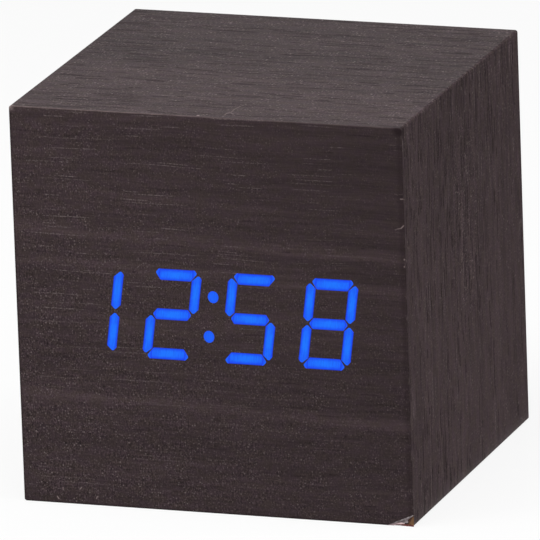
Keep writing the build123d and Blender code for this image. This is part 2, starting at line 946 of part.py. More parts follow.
def build():
    """All pieces of the clock, by name."""
    tens_x, units_x, minute_tens_x, minute_units_x = digit_places()
    pieces = {
        "lit_hours_tens": lit_digit("hours_tens", tens_x),
        "lit_hours_units": lit_digit("hours_units", units_x),
        "lit_colon": group([dot(place, front_face, sleeve_front) for place in dot_places()]),
        "lit_minutes_tens": lit_digit("minutes_tens", minute_tens_x),
        "lit_minutes_units": lit_digit("minutes_units", minute_units_x),
    }
    pieces["front_film"] = front_film(list(pieces.values()))
    pieces["rear_film"] = rear_film()
    for side in SIDES:
        pieces[side + "_board"] = sleeve_board(side)
        pieces["film_" + side] = sleeve_film(side)
    pieces["front_board"] = front_board()
    pieces["rear_board"] = rear_board()
    pieces["light_diffuser"] = light_diffuser()
    pieces["segment_reflector"] = segment_reflector()
    pieces["led_chips"] = led_chips()
    pieces["display_board"] = display_board()
    pieces["display_driver"] = display_driver()
    pieces["display_spacers"] = spacers(display_screw_places(), front_board_back, display_spacer_length)
    display_screw_length = display_board_thickness + display_spacer_length + screw_bite
    pieces["display_screws"] = board_screws(
        display_screw_places(), display_board_back, -1, display_screw_length
    )
    pieces["display_ribbon"] = display_ribbon()
    pieces["ribbon_connectors"] = ribbon_connectors()
    pieces["main_board"] = main_board()
    pieces["main_board_spacers"] = spacers(main_screw_places(), main_board_rear, main_spacer_length)
    main_screw_length = main_board_thickness + main_spacer_length + screw_bite
    pieces["main_board_screws"] = board_screws(main_screw_places(), main_board_front, 1, main_screw_length)
    pieces["clock_chip"] = clock_chip()
    pieces["clock_crystal"] = clock_crystal()
    pieces["capacitors"] = capacitors()
    pieces["voltage_regulator"] = voltage_regulator()
    pieces["alarm_buzzer"] = alarm_buzzer()
    pieces["microphone"] = microphone()
    pieces["temperature_sensor"] = temperature_sensor()
    pieces["switch_housings"] = switch_housings()
    for name, x in zip(("set", "up", "down"), buttons()):
        pieces[name + "_plunger"] = plunger(x)
        pieces[name + "_button"] = button(x)
    pieces["power_socket"] = power_socket()
    pieces["socket_pin"] = socket_pin()
    pieces["battery_box"] = battery_box()
    pieces["battery_box_screws"] = battery_box_screws()
    pieces["battery_door"] = battery_door()
    pieces["battery_cells"] = battery_cells()
    pieces["cell_springs"] = cell_springs()
    pieces["contact_plates"] = contact_plates()
    pieces["black_lead"] = battery_lead("black_lead", -1, 0)
    pieces["red_lead"] = battery_lead("red_lead", 1, cell_count - 1)
    return pieces


os.makedirs("parts", exist_ok=True)
for node, shape in build().items():
    export_step(shape, "parts/" + node + ".step")
print("cabinet", round(cabinet_width, 3), round(cabinet_depth, 3), round(cabinet_height, 3))
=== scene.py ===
import math
from collections import namedtuple
from functools import cached_property, partialmethod

import bmesh
import bpy
import numpy as np
from bpy.props import FloatProperty, FloatVectorProperty, IntProperty, PointerProperty
from bpy.types import Operator, Panel, PropertyGroup
from mathutils import Matrix, Vector


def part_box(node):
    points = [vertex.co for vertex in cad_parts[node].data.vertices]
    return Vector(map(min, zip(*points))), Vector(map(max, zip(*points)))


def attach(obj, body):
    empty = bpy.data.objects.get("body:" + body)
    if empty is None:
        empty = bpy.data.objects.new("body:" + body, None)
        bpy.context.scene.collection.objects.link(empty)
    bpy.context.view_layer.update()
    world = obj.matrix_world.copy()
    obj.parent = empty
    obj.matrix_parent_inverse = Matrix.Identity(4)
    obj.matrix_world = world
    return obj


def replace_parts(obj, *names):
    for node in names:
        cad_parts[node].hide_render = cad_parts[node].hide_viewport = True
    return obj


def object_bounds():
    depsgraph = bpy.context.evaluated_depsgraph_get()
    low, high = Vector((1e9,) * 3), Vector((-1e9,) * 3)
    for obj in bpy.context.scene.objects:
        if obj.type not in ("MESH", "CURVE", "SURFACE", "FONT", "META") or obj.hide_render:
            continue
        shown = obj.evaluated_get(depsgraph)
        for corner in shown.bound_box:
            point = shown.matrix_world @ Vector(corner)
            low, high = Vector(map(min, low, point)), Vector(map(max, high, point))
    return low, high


bl_info = {
    "name": "Wood film desk clock",
    "version": (1, 0, 0),
    "blender": (4, 5, 0),
    "location": "3D View > Sidebar > Clock",
    "description": "Gives a cube desk clock its wood film, its glowing digits and its chipped corner",
    "category": "Object",
}

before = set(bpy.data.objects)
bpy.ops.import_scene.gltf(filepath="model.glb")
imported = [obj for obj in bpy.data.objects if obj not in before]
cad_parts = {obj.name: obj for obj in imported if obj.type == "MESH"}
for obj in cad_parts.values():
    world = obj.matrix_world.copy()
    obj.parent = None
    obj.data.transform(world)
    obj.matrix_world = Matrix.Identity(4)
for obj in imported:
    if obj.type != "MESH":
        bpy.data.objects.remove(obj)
CAD_LOW, CAD_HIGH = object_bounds()
MM = 0.001
WHITE = (1.0, 1.0, 1.0)

# The cabinet in millimetres, read from the frame
HALF_WIDTH = CAD_HIGH.x / MM
HEIGHT = CAD_HIGH.z / MM
FRONT_FACE = CAD_LOW.y / MM
HALF_DEPTH = -FRONT_FACE
REAR_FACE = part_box("rear_film")[1].y / MM

# Digits in millimetres: the shader's light patches follow the display's strokes
DIGIT_PITCH = 12.37
DIGIT_SLANT = math.tan(math.radians(8))
DISPLAY_HEIGHT = (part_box("lit_minutes_units")[0].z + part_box("lit_minutes_units")[1].z) / 2 / MM
BAR_OFFSET = 6.2
BAR_HALF = 0.88
UPRIGHT_OFFSET = 3.33
UPRIGHT_HALF = 0.78
UPRIGHT_MIDDLE = 3.35
DOT_OFFSET = 3.12
DOT_HALF_WIDTH = 0.84
DOT_HALF_HEIGHT = 0.935
DOT_REACH = 1.5


class Value:
    """A shader socket that takes part in sums: each operator adds one Math node to its material."""

    def __init__(self, finish, socket):
        self.finish = finish
        self.socket = socket

    def maths(self, operation, *others):
        return self.finish.node("ShaderNodeMath", {"operation": operation}, dict(enumerate((self, *others))))

    def __rsub__(self, other):
        return self.finish.node("ShaderNodeMath", {"operation": "SUBTRACT"}, {0: other, 1: self})

    __add__ = __radd__ = partialmethod(maths, "ADD")
    __mul__ = __rmul__ = partialmethod(maths, "MULTIPLY")
    __sub__ = partialmethod(maths, "SUBTRACT")
    __truediv__ = partialmethod(maths, "DIVIDE")
    __lt__ = partialmethod(maths, "LESS_THAN")
    __abs__ = partialmethod(maths, "ABSOLUTE")
    least = partialmethod(maths, "MINIMUM")
    most = partialmethod(maths, "MAXIMUM")
    whole = partialmethod(maths, "ROUND")
    root = partialmethod(maths, "SQRT")


class Finish:
    """The nodes of one new material, or of a world, with lengths in millimetres."""

    def __init__(self, name, owners="materials"):
        self.owner = getattr(bpy.data, owners).new(name)
        self.owner.use_nodes = True
        self.tree = self.owner.node_tree
        self.tree.nodes.clear()

    def node(self, kind, settings=None, inputs=None, give=0):
        """Adds a node: its settings first, then the values or links of its sockets. give is the output that
        comes back as a Value, or a tuple of outputs."""
        added = self.tree.nodes.new(kind)
        for name, value in (settings or {}).items():
            setattr(added, name, value)
        for key, value in (inputs or {}).items():
            socket = find_socket(added.inputs, key)
            if isinstance(value, Value):
                self.tree.links.new(value.socket, socket)
            else:
                socket.default_value = value
        if isinstance(give, tuple):
            return [Value(self, find_socket(added.outputs, key)) for key in give]
        return Value(self, find_socket(added.outputs, give)) if len(added.outputs) else None

    def vectors(self, operation, first, second, give="Vector"):
        """One Vector Math node. For SCALE the second is a number."""
        inputs = {0: first, ("Scale" if operation == "SCALE" else 1): second}
        return self.node("ShaderNodeVectorMath", {"operation": operation}, inputs, give)

    @cached_property
    def place(self):
        """The point on the object in millimetres, as three Values."""
        point = self.node("ShaderNodeTexCoord", give="Object")
        return self.node("ShaderNodeSeparateXYZ", None, {0: self.vectors("SCALE", point, 1 / MM)}, ("X", "Y", "Z"))

    def point(self, x, y, z=0.0):
        """Three Values or numbers as one vector."""
        return self.node("ShaderNodeCombineXYZ", None, {0: x, 1: y, 2: z})

    def noise(self, x, y, z=0.0, detail=2.0, roughness=0.5):
        """Smooth noise from 0 to 1, about one wave to each unit of its coordinates."""
        inputs = {"Vector": self.point(x, y, z), "Scale": 1.0, "Detail": detail, "Roughness": roughness}
        return self.node("ShaderNodeTexNoise", None, inputs)

    def cloud(self, wave, detail=2.0, roughness=0.5):
        """Smooth noise over the object. wave is the length of its waves, or three lengths, one for each axis."""
        waves = wave if isinstance(wave, tuple) else (wave,) * 3
        return self.noise(*(axis / length for axis, length in zip(self.place, waves)), detail, roughness)

    def mosaic(self, x, y):
        """A flat mosaic of unit cells: the distance from the cell's spot, the spot, and three shares from 0 to 1
        that are the cell's own."""
        settings = {"voronoi_dimensions": "2D", "feature": "F1"}
        inputs = {"Vector": self.point(x, y), "Scale": 1.0}
        give = ("Distance", "Position", "Color")
        distance, spot, colour = self.node("ShaderNodeTexVoronoi", settings, inputs, give)
        return distance, spot, self.node("ShaderNodeSeparateColor", None, {0: colour}, (0, 1, 2))

    def spots(self, x, y, few, small, large):
        """Soft spots, one to a unit cell, in the share of the cells that few says, from small to large."""
        distance, _, (pick, size, strength) = self.mosaic(x, y)
        reach = size * (large - small) + small
        return self.step(distance / reach, 1.0, 0.35) * (pick < few) * (strength * 0.65 + 0.35)

    def dashes(self, run, cross, cell, few, longest, width):
        """Short lines along run, one to a cell of the size cell gives (along, across), in the share of the cells
        that few says. Their half lengths differ, up to longest; width is half of theirs across."""
        cell_run, cell_cross = run / cell[0], cross / cell[1]
        _, spot, (pick, size, strength) = self.mosaic(cell_run, cell_cross)
        middle_run, middle_cross = self.node("ShaderNodeSeparateXYZ", None, {0: spot}, ("X", "Y"))
        along = abs(cell_run - middle_run) * cell[0]
        across = abs(cell_cross - middle_cross) * cell[1]
        reach = (size * size * 0.85 + 0.15) * longest
        ends = self.step(along / reach, 1.0, 0.6)
        return ends * self.step(across, width * 1.3, width * 0.5) * (pick < few) * (strength * 0.6 + 0.4)

    def distance(self, spot):
        """Millimetres from the point on the object to a spot."""
        return self.vectors("DISTANCE", self.point(*self.place), spot, "Value")

    def scratch(self, start, end, half_width):
        """1 on the straight line from start to end, fading to 0 at half_width from it. The nearest point of the
        line is its start plus the length of the run to the point's foot, held between both ends."""
        start = np.array(start, float)
        line = np.array(end, float) - start
        point = self.point(*self.place)
        foot = self.vectors("DOT_PRODUCT", point, line.tolist(), "Value")
        share = ((foot - float(start @ line)) / float(line @ line)).least(1.0).most(0.0)
        near = self.vectors("ADD", self.vectors("SCALE", line.tolist(), share), start.tolist())
        reach = self.vectors("DISTANCE", point, near, "Value")
        return self.step(reach, half_width, half_width * 0.3)

    def step(self, value, start, end):
        """0 before start, 1 after end and smooth between them. start may be the larger."""
        settings = {"interpolation_type": "SMOOTHSTEP"}
        return self.node("ShaderNodeMapRange", settings, {0: value, 1: start, 2: end})

    def blend(self, share, first, second):
        """Two colours mixed by a share of the second."""
        inputs = {"Factor_Float": share, "A_Color": opaque(first), "B_Color": opaque(second)}
        return self.node("ShaderNodeMix", {"data_type": "RGBA"}, inputs, "Result_Color")

    def shade(self, colour, amount):
        """A colour made lighter or darker."""
        return self.vectors("SCALE", colour if isinstance(colour, Value) else tuple(colour), amount)

    def bump(self, height, depth, strength=1.0):
        """A normal tilted by relief. depth is in millimetres for a height of 1."""
        inputs = {"Strength": strength, "Distance": depth * MM, "Height": height}
        return self.node("ShaderNodeBump", None, inputs)

    def seen(self):
        """1 for rays of the camera and for those that a glossy or clear surface sends on, 0 for all others."""
        rays = ("Is Camera Ray", "Is Glossy Ray", "Is Transmission Ray")
        camera, glossy, through = self.node("ShaderNodeLightPath", give=rays)
        return camera.most(glossy).most(through)

    def glow(self, strength):
        """A plain white light."""
        return self.node("ShaderNodeEmission", None, {"Color": opaque(WHITE), "Strength": strength})

    def close(self, surface, output="ShaderNodeOutputMaterial"):
        """Gives the material, or the world, its surface."""
        self.node(output, None, {"Surface": surface})
        return self.owner

    def cover(self, **sockets):
        """Closes the material with one Principled shader."""
        inputs = {name.replace("_", " "): opaque(value) for name, value in sockets.items()}
        return self.close(self.node("ShaderNodeBsdfPrincipled", None, inputs))


def find_socket(sockets, key):
    """A socket by its place or by its name. Those of a Mix node go by their identifiers."""
    if isinstance(key, int):
        return sockets[key]
    return next(socket for socket in sockets if key in (socket.identifier, socket.name))


def opaque(value):
    """Adds full alpha to a plain colour and leaves the rest alone."""
    return (*value, 1.0) if hasattr(value, "__len__") and len(value) == 3 else value


def box(node):
    """The lower and the upper corner of a CAD node, in millimetres."""
    return [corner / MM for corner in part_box(node)]


def paint(material, *nodes):
    """Puts one material on CAD nodes."""
    for name in nodes:
        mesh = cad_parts[name].data
        mesh.materials.clear()
        mesh.materials.append(material)


def grid_faces(rows, columns, closed=False):
    """Quads of a grid of points, as an array of four corners each. In a closed grid the last column meets the
    first."""
    row, column = np.meshgrid(np.arange(rows - 1), np.arange(columns if closed else columns - 1), indexing="ij")
    here = row * columns
    after = (column + 1) % columns
    corners = (here + column, here + columns + column, here + columns + after, here + after)
    return np.stack([corner.ravel() for corner in corners], axis=1)


def make_object(name, surfaces, material, smooth=False):
    """Joins surfaces, each an array of points in millimetres and its faces, into one object."""
    points = []
    faces = []
    count = 0
    for surface_points, surface_faces in surfaces:
        flat = np.asarray(surface_points, float).reshape(-1, 3)
        points.append(flat * MM)
        faces.extend((np.asarray(face) + count).tolist() for face in surface_faces)
        count += len(flat)
    mesh = bpy.data.meshes.new(name)
    mesh.from_pydata(np.concatenate(points).tolist(), [], faces)
    mesh.polygons.foreach_set("use_smooth", np.full(len(mesh.polygons), smooth))
    mesh.materials.append(material)
    mesh.validate()
    made = bpy.data.objects.new(name, mesh)
    bpy.context.scene.collection.objects.link(made)
    return made


def make_piece(name, surfaces, material, smooth=True):
    """One piece that is fixed to the cabinet."""
    piece = make_object(name, surfaces, material, smooth)
    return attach(piece, "cabinet")


def carried(profile, path, side):
    """A closed profile carried along a path. Each point of the profile is the path's point plus its first
    number times the side direction plus its second times the direction square to both side and path."""
    path = np.asarray(path, float)
    along = np.gradient(path, axis=0)
    along /= np.linalg.norm(along, axis=1, keepdims=True)
    side = np.broadcast_to(np.asarray(side, float), path.shape)
    side = side - along * np.sum(side * along, axis=1, keepdims=True)
    side = side / np.linalg.norm(side, axis=1, keepdims=True)
    up = np.cross(side, along)
    return path[:, None] + profile[None, :, :1] * side[:, None] + profile[None, :, 1:] * up[:, None]


def capped(points):
    """A carried profile's points with their faces, closed round and at both ends."""
    rows, columns = points.shape[:2]
    start = np.arange(columns)
    end = start[::-1] + (rows - 1) * columns
    return points, [*grid_faces(rows, columns, closed=True), start, end]


class ShotSettings(PropertyGroup):
    """The camera, the floor and the lights."""

    azimuth: FloatProperty(name="Azimuth", description="Camera's turn to the right of the front",
                           default=math.radians(19.2885), unit="ROTATION")
    elevation: FloatProperty(name="Elevation", description="Camera's height above the horizon",
                             default=math.radians(16.1320), unit="ROTATION")
    roll: FloatProperty(name="Roll", description="Camera's turn about its own axis",
                        default=math.radians(-2.0010), unit="ROTATION")
    distance: FloatProperty(name="Distance", description="From the clock's middle to the camera",
                            default=1.95549, unit="LENGTH")
    lens: FloatProperty(name="Lens", description="Focal length on a 36 mm sensor", default=858.46, unit="CAMERA")
    aim: FloatVectorProperty(name="Aim", description="Place that the camera looks at",
                             default=(-0.000242, -0.000343, 0.030169), unit="LENGTH")
    floor_reach: FloatProperty(name="Floor reach", description="From the middle to the floor's edge",
                               default=6.0, unit="LENGTH")
    floor_colour: FloatVectorProperty(name="Floor", description="Colour of the floor", subtype="COLOR",
                                      default=(0.70, 0.70, 0.70))
    floor_glare: FloatProperty(name="Floor glare", description="How far the floor goes to plain white in view",
                               default=0.86, subtype="FACTOR")
    daylight: FloatProperty(name="Surroundings", description="Strength of the even light from all round",
                            default=0.25)
    top_lamp: FloatProperty(name="Top lamp", description="Power of the lamp above", default=5.0, unit="POWER")
    left_lamp: FloatProperty(name="Left lamp", description="Power of the lamp in front, to the left",
                             default=0.58, unit="POWER")
    right_lamp: FloatProperty(name="Right lamp", description="Power of the lamp on the right",
                              default=8.1, unit="POWER")
    flag_grey: FloatProperty(name="Flag", description="Grey of the card that the right side reflects",
                             default=0.15, subtype="FACTOR")


class FilmSettings(PropertyGroup):
    """The printed wood film."""

    cool: FloatVectorProperty(name="Cool brown", description="The film's purplish brown", subtype="COLOR",
                              default=(0.0355, 0.0236, 0.0269))
    warm: FloatVectorProperty(name="Warm brown", description="The film's olive brown", subtype="COLOR",
                              default=(0.0345, 0.0240, 0.0237))
    # The pale specks are partly printed and partly painted glints; the pale dashes take the same colour
    fleck: FloatVectorProperty(name="Fleck", description="Colour of the fine light flecks", subtype="COLOR",
                               default=(0.165, 0.133, 0.131))
    # The pores' colour also paints the darker edges and strip, and the painted shade of the wrinkle at the front's
    # upper right corner
    pore: FloatVectorProperty(name="Pore", description="Colour of the dark pores", subtype="COLOR",
                              default=(0.012, 0.007, 0.008))
    # Also the colour of the painted highlight along the front's upper edge
    worn: FloatVectorProperty(name="Worn edge", description="Colour of the film's worn edges", subtype="COLOR",
                              default=(0.24, 0.185, 0.18))
    grain_pitch: FloatProperty(name="Grain pitch", description="Width of the finest grain lines",
                               default=0.00024, unit="LENGTH")
    fleck_and_glint_pitch: FloatProperty(name="Fleck pitch", description="Distance between the light flecks",
                               default=0.00042, unit="LENGTH")


class GlowSettings(PropertyGroup):
    """The lit strokes."""

    core: FloatVectorProperty(name="Core", description="Blue of a stroke's middle", subtype="COLOR",
                              default=(0.004, 0.115, 0.95))
    patch: FloatVectorProperty(name="Patch", description="Blue over a light chip", subtype="COLOR",
                               default=(0.004, 0.165, 0.98))
    rim: FloatVectorProperty(name="Rim", description="Blue along a stroke's edge", subtype="COLOR",
                             default=(0.003, 0.050, 0.86))


class ChipSettings(PropertyGroup):
    """The torn and crumbled corner, low on the right of the front."""

    width: FloatProperty(name="Width", description="Width of the missing wedge", default=0.0043, unit="LENGTH")
    depth: FloatProperty(name="Depth", description="Depth of the missing wedge", default=0.0008, unit="LENGTH")
    paper: FloatVectorProperty(name="Paper", description="Torn back of the film", subtype="COLOR",
                               default=(0.135, 0.098, 0.108))
    board: FloatVectorProperty(name="Board", description="Broken fibreboard", subtype="COLOR",
                               default=(0.140, 0.068, 0.025))


class CoilSettings(PropertyGroup):
    """The cells' springs."""

    turns: FloatProperty(name="Turns", description="Turns of one spring", default=3.5)
    wire: FloatProperty(name="Wire", description="Thickness of the wire", default=0.0005, unit="LENGTH")
    narrow: FloatProperty(name="Narrowing", description="Share of its radius that a spring keeps at its cell",
                          default=0.62, subtype="FACTOR")


class RibbonSettings(PropertyGroup):
    """The flat cable between the two circuit boards."""

    conductors: IntProperty(name="Conductors", description="Number of its conductors", default=9)
    dip: FloatProperty(name="Dip", description="How far it hangs down", default=0.009, unit="LENGTH")
    thickness: FloatProperty(name="Thickness", description="Thickness over a conductor", default=0.0008,
                             unit="LENGTH")


class PrintSettings(PropertyGroup):
    """The signs printed beside the buttons."""

    size: FloatProperty(name="Size", description="Half the width of a sign", default=0.0011, unit="LENGTH")
    ink: FloatVectorProperty(name="Ink", description="Colour of the signs", subtype="COLOR",
                             default=(0.55, 0.54, 0.52))


# How each film is printed, in millimetres. Its grain runs along the axis run, with the sign and the start that carry
# it round the sleeve's folds, and cross is the axis across it. ripple is how far the grain ripples, stretch how long
# its lines are, and grain the strengths of its fine, middle and broad lines and of its grit. pores is the share of the
# cells, each of the size cell (along, across), that hold one of the dark pores, longest and width are the pores' half
# length and half width, and depth is their strength. dashes and thin are the share and the half width of the pale
# dashes, fleck_size and bright the size and the strength of the pale specks, which are partly printed and partly
# painted glints
Face = namedtuple(
    "Face",
    "node run cross sign start seed ripple stretch grain pores cell longest width depth dashes thin fleck_size bright",
)
FRONT = Face(
    "front_film", run="X", cross="Z", sign=1, start=0, seed=0, ripple=0.15, stretch=1.0, grain=(0.7, 0.7, 0.35, 3.7),
    pores=0.12, cell=(6.0, 0.62), longest=2.6, width=0.12, depth=0.6, dashes=0.48, thin=0.066, fleck_size=1.0,
    bright=0.66,
)
TOP = Face(
    "film_top", run="X", cross="Y", sign=1, start=600, seed=9, ripple=0.35, stretch=0.55, grain=(1.2, 1.1, 0.8, 4.0),
    pores=0.95, cell=(9.0, 0.80), longest=6.5, width=0.18, depth=1.25, dashes=0.14, thin=0.10, fleck_size=1.4,
    bright=0.70,
)
RIGHT = TOP._replace(
    node="film_right", run="Z", sign=-1, start=TOP.start + HALF_WIDTH + HEIGHT, ripple=0.2, stretch=1.0,
    grain=(1.7, 1.1, 0.6, 4.3), cell=(7.0, 0.7), longest=4.6, width=0.16, depth=1.3, dashes=0.16, thin=0.12,
    bright=0.60,
)
FACES = (
    FRONT,
    FRONT._replace(
        node="rear_film", start=300, seed=5, grain=(0.7, 0.6, 0.6, 2.8), pores=0.20, depth=0.5, dashes=0.25,
        thin=0.07, bright=0.60,
    ),
    TOP,
    TOP._replace(
        node="film_bottom", start=900, seed=13, ripple=0.6, stretch=1.0, grain=(0.8, 0.9, 0.8, 3.5), pores=0.75,
        cell=(9.0, 0.95), longest=5.0, width=0.2, depth=0.65, dashes=0.10, thin=0.12, fleck_size=1.5,
    ),
    RIGHT,
    RIGHT._replace(node="film_left", sign=1, start=TOP.start - HALF_WIDTH - HEIGHT),
)
# Light and dark bands across the front: the middle height and the half height of each, its strength, and the
# middle and the half width of the stretch that it shows on
BANDS = (
    (42.4, 1.8, 0.36, -8, 70), (37.3, 1.6, 0.27, -4, 70), (16.6, 1.4, 0.34, 0, 70), (48.4, 1.1, 0.12, -10, 30),
    (30.5, 5.0, 0.08, 14, 50), (29.1, 0.9, 0.12, -24, 24), (20.3, 2.0, -0.09, 0, 70), (9.5, 4.5, -0.09, 0, 70),
    (57.0, 4.0, -0.07, 12, 60),
)
BAND_SLOPE = 0.029
# Small marks of wear: straight pale scratches on the front, as X and Z, and on the top, as X and Y, each from a
# start to an end, with its half width and its strength
MARKS = {
    "front_film": [
        ((x, FRONT_FACE, z), (end_x, FRONT_FACE, end_z), half_width, strength)
        for x, z, end_x, end_z, half_width, strength in (
            (30.56, 51.05, 31.0, 51.05, 0.15, 0.6),
            (29.56, 46.24, 29.99, 46.42, 0.13, 0.3),
            (29.99, 46.42, 30.46, 46.52, 0.13, 0.5),
            (30.46, 46.52, 30.92, 46.96, 0.14, 0.75),
            (-24.70, 2.50, -24.70, 2.15, 0.13, 0.6),
            (-25.66, 1.00, -25.45, 0.68, 0.15, 0.9),
            (-21.99, 2.40, -21.72, 2.70, 0.13, 0.7),
            (-19.38, 1.10, -19.25, 1.42, 0.14, 0.8),
            (30.85, 41.72, 30.86, 41.66, 0.16, 0.8),
            (30.82, 40.61, 30.83, 40.55, 0.16, 0.6),
        )
    ],
    "film_top": [
        ((x, y, HEIGHT), (end_x, end_y, HEIGHT), half_width, strength)
        for x, y, end_x, end_y, half_width, strength in (
            (2.71, -26.94, 2.76, -25.63, 0.17, 0.5),
            (2.76, -25.63, 3.21, -25.36, 0.17, 0.55),
            (3.21, -25.36, 3.11, -23.45, 0.16, 0.35),
            (3.11, -23.45, 3.50, -21.55, 0.16, 0.4),
            (3.41, -25.66, 4.45, -27.09, 0.15, 0.2),
            (-1.15, -27.90, -1.07, -27.90, 0.28, 1.6),
        )
    ],
}


def film_finish(look, face):
    """Wood film: grain lines that run along one axis and wander slowly, broad wavy bands, dark pores in clusters, pale
    dashes broken into dots, pale specks that are partly printed and partly painted glints, grit in patches, edges
    rubbed pale with a painted highlight along the front's upper edge, painted light and shade over the faces, and
    small scratches."""
    film = Finish(face.node)
    place = dict(zip("XYZ", film.place))
    run = place[face.run] * face.sign + face.start
    flat = place[face.cross]
    seed = face.seed
    is_front = face.node == "front_film"
    is_end = face.cross == "Z"
    is_side = face.run == "Z"

    wander = film.noise(run / 16, flat / 7, seed, 1) - 0.5
    ripple = film.noise(run / 3.2, flat / 2.4, seed + 8, 1) - 0.5
    cross = flat + wander * 1.6 + ripple * face.ripple
    pitch = look.grain_pitch / MM * (1.0 if is_end else 1.8)
    fine = film.noise(run / (6 * face.stretch), cross / pitch, seed + 1, 3, 0.6) - 0.5
    mid = film.noise(run / (18 * face.stretch), cross, seed + 2, 3, 0.6) - 0.5
    broad = film.noise(run / 60, cross / 4.5, seed + 3) - 0.5
    drift = film.noise(run / 2.2, cross / 1.3, seed + 4, 3, 0.6)
    grit = film.noise(run / 0.24, flat / 0.36, seed + 5, 2, 0.7) - 0.5
    grit = grit.most(-0.07) + (film.noise(run / 0.26, flat / 1.3, seed + 11, 1) - 0.5) * 0.32
    patches = film.noise(run / 3.5, flat / 2.2, seed + 10)
    amount = film.step(patches, 0.34, 0.62) * 0.7 + 0.45
    if is_front:
        amount = amount * (0.92 - place["X"] * 0.0105 - place["Z"] * 0.0090).most(0.2)
    elif is_side:
        amount = amount * (side_cluster(film) * 0.65 + 0.62)
    # The printed tone with painted light and shade
    tone = print_and_painted_light(film, face, mid, wander)
    for strength, wave in zip(face.grain, (fine, mid, broad, grit * amount)):
        tone = tone + wave * strength

    cluster_run, cluster_cross = (14, 4.0) if is_end else (30, 2.4)
    clusters = film.noise(run / cluster_run, cross / cluster_cross, seed + 7, 1)
    if is_side:
        front_half = film.step(place["Y"] - place["Z"] * 0.35, 8, -12)
        clusters = clusters + (front_half - 0.5) * 0.12 + side_cluster(film) * 0.18 - 0.05
    rungs = film.step(film.noise(run / 0.45, cross / 0.6, seed + 12, 1), 0.36, 0.56)
    pores = film.dashes(run, cross + grit * 0.3, face.cell, face.pores, face.longest, face.width)
    pores = pores * film.step(clusters, 0.36, 0.54) * (rungs * 0.5 + 0.5) * face.depth
    dots = film.noise(run / 0.34, cross / 0.3, seed + 6, 1)
    dashes = film.dashes(run + 40, flat + wander * 0.6, (14.0, 0.72), face.dashes, 7.5, face.thin)
    dashes = dashes * (film.step(dots, 0.44, 0.60) * 0.85 + 0.15)
    if is_front:
        high_left = film.step(place["Z"] / HEIGHT - place["X"] / HALF_WIDTH * 0.6, 0.0, 1.0)
        dashes = dashes * (high_left * 0.85 + 0.25)
    # Pale specks: partly printed, partly painted glints
    fleck_and_glint_pitch = look.fleck_and_glint_pitch / MM * face.fleck_size
    flecks_and_glints = film.spots(run / fleck_and_glint_pitch, cross / fleck_and_glint_pitch, 0.80, 0.22, 0.52)
    flecks_and_glints = flecks_and_glints * flecks_and_glints * flecks_and_glints * amount * face.bright

    brown = film.shade(film.blend(film.step(drift, 0.36, 0.64), look.cool, look.warm), tone)
    for share, over in (
        (flecks_and_glints, look.fleck),
        (dashes * 0.62, look.fleck),
        (pores, look.pore),
        (dark_share(film, face), look.pore),
        (worn_and_highlight_share(film, face, run, flat), look.worn),
    ):
        brown = film.blend(share, brown, over)
    height = fine * 0.5 + grit * 0.3 - pores * 1.4 + flecks_and_glints * 0.6
    return film.cover(
        Base_Color=brown,
        Roughness=film.step(fine + pores, -0.3, 0.7) * 0.14 + 0.5,
        Specular_IOR_Level=0.05,
        Normal=film.bump(height, 0.02, 0.7),
    )


def side_cluster(film):
    """How near a point of a side is to the cluster of dark streaks, upright in its middle."""
    x, y, z = film.place
    depth = y - 0.5
    height = (z - 40) / 2.4
    return film.step((depth * depth + height * height).root(), 9, 3)


def print_and_painted_light(film, face, mid, wander):
    """The film's tone: printed bands across the front, each bell-shaped and falling to the right, over painted shade
    that darkens the front towards its right and most at its upper right, with the front a little lighter low down;
    painted shade that darkens the top towards the back; and sides made a little lighter below by painted light from
    the floor, a little lighter towards the front too, with a cluster of dark streaks on each."""
    x, y, z = film.place
    if face.node == "film_top":
        # Painted shade: the top darker towards the back
        return 1.09 - film.step(y, -17, 7) * 0.22
    if face.run == "Z":
        # Painted light from the floor: the sides lighter below; they are also a little lighter towards the front
        front_part = film.step(y, 6, -16) * 0.02
        return 1.28 - z * 0.0047 + front_part - side_cluster(film) * (0.03 - mid)
    if face.node != "front_film":
        return mid * 0.1 + 1.0
    # Painted shade: the front darker towards its right and most at its upper right; it is also a little lighter low
    # down
    painted_shade_right = film.step(x, 4, 26) * film.step(z, 10, 26)
    total = 0.985 - x * 0.0010 - painted_shade_right * 0.055 + film.step(z, 22, 8) * 0.025
    for middle, reach, strength, centre, width in BANDS:
        offset = z + x * BAND_SLOPE - middle + wander * 1.1
        fade = film.step(abs(x - centre) / width, 1.0, 0.2)
        total = film.step(abs(offset) / reach, 1.0, 0.0) * fade * (mid * 1.6 * strength + strength) + total
    return total


def dark_share(film, face):
    """How dark the film is at its folds: along the outer edges, but for the two that meet at the front's upper right;
    in a spot of painted shade for a wrinkle at that corner, which the geometry lacks, also on the top and the side;
    and in a strip up the front's right."""
    x, y, z = film.place
    first = z if face.run == "Z" else x + HALF_WIDTH
    second = z if face.cross == "Z" else HALF_DEPTH - y
    seam = film.step(first.least(second), 0.55, 0.1) * 0.5
    if face.node not in ("front_film", "film_top", "film_right"):
        return seam
    # Painted shade of a wrinkle in the film at the front's upper right corner, which the geometry lacks
    from_shaded_wrinkle = film.distance((HALF_WIDTH - 0.25, FRONT_FACE, HEIGHT - 0.45))
    if face.node != "front_film":
        return seam.most(film.step(from_shaded_wrinkle, 1.7, 0.75) * 0.8)
    strip = film.step(x, HALF_WIDTH - 1.1, HALF_WIDTH - 0.5) * 0.32
    return seam.most(film.step(from_shaded_wrinkle, 1.4, 0.5) * 0.82).most(strip)


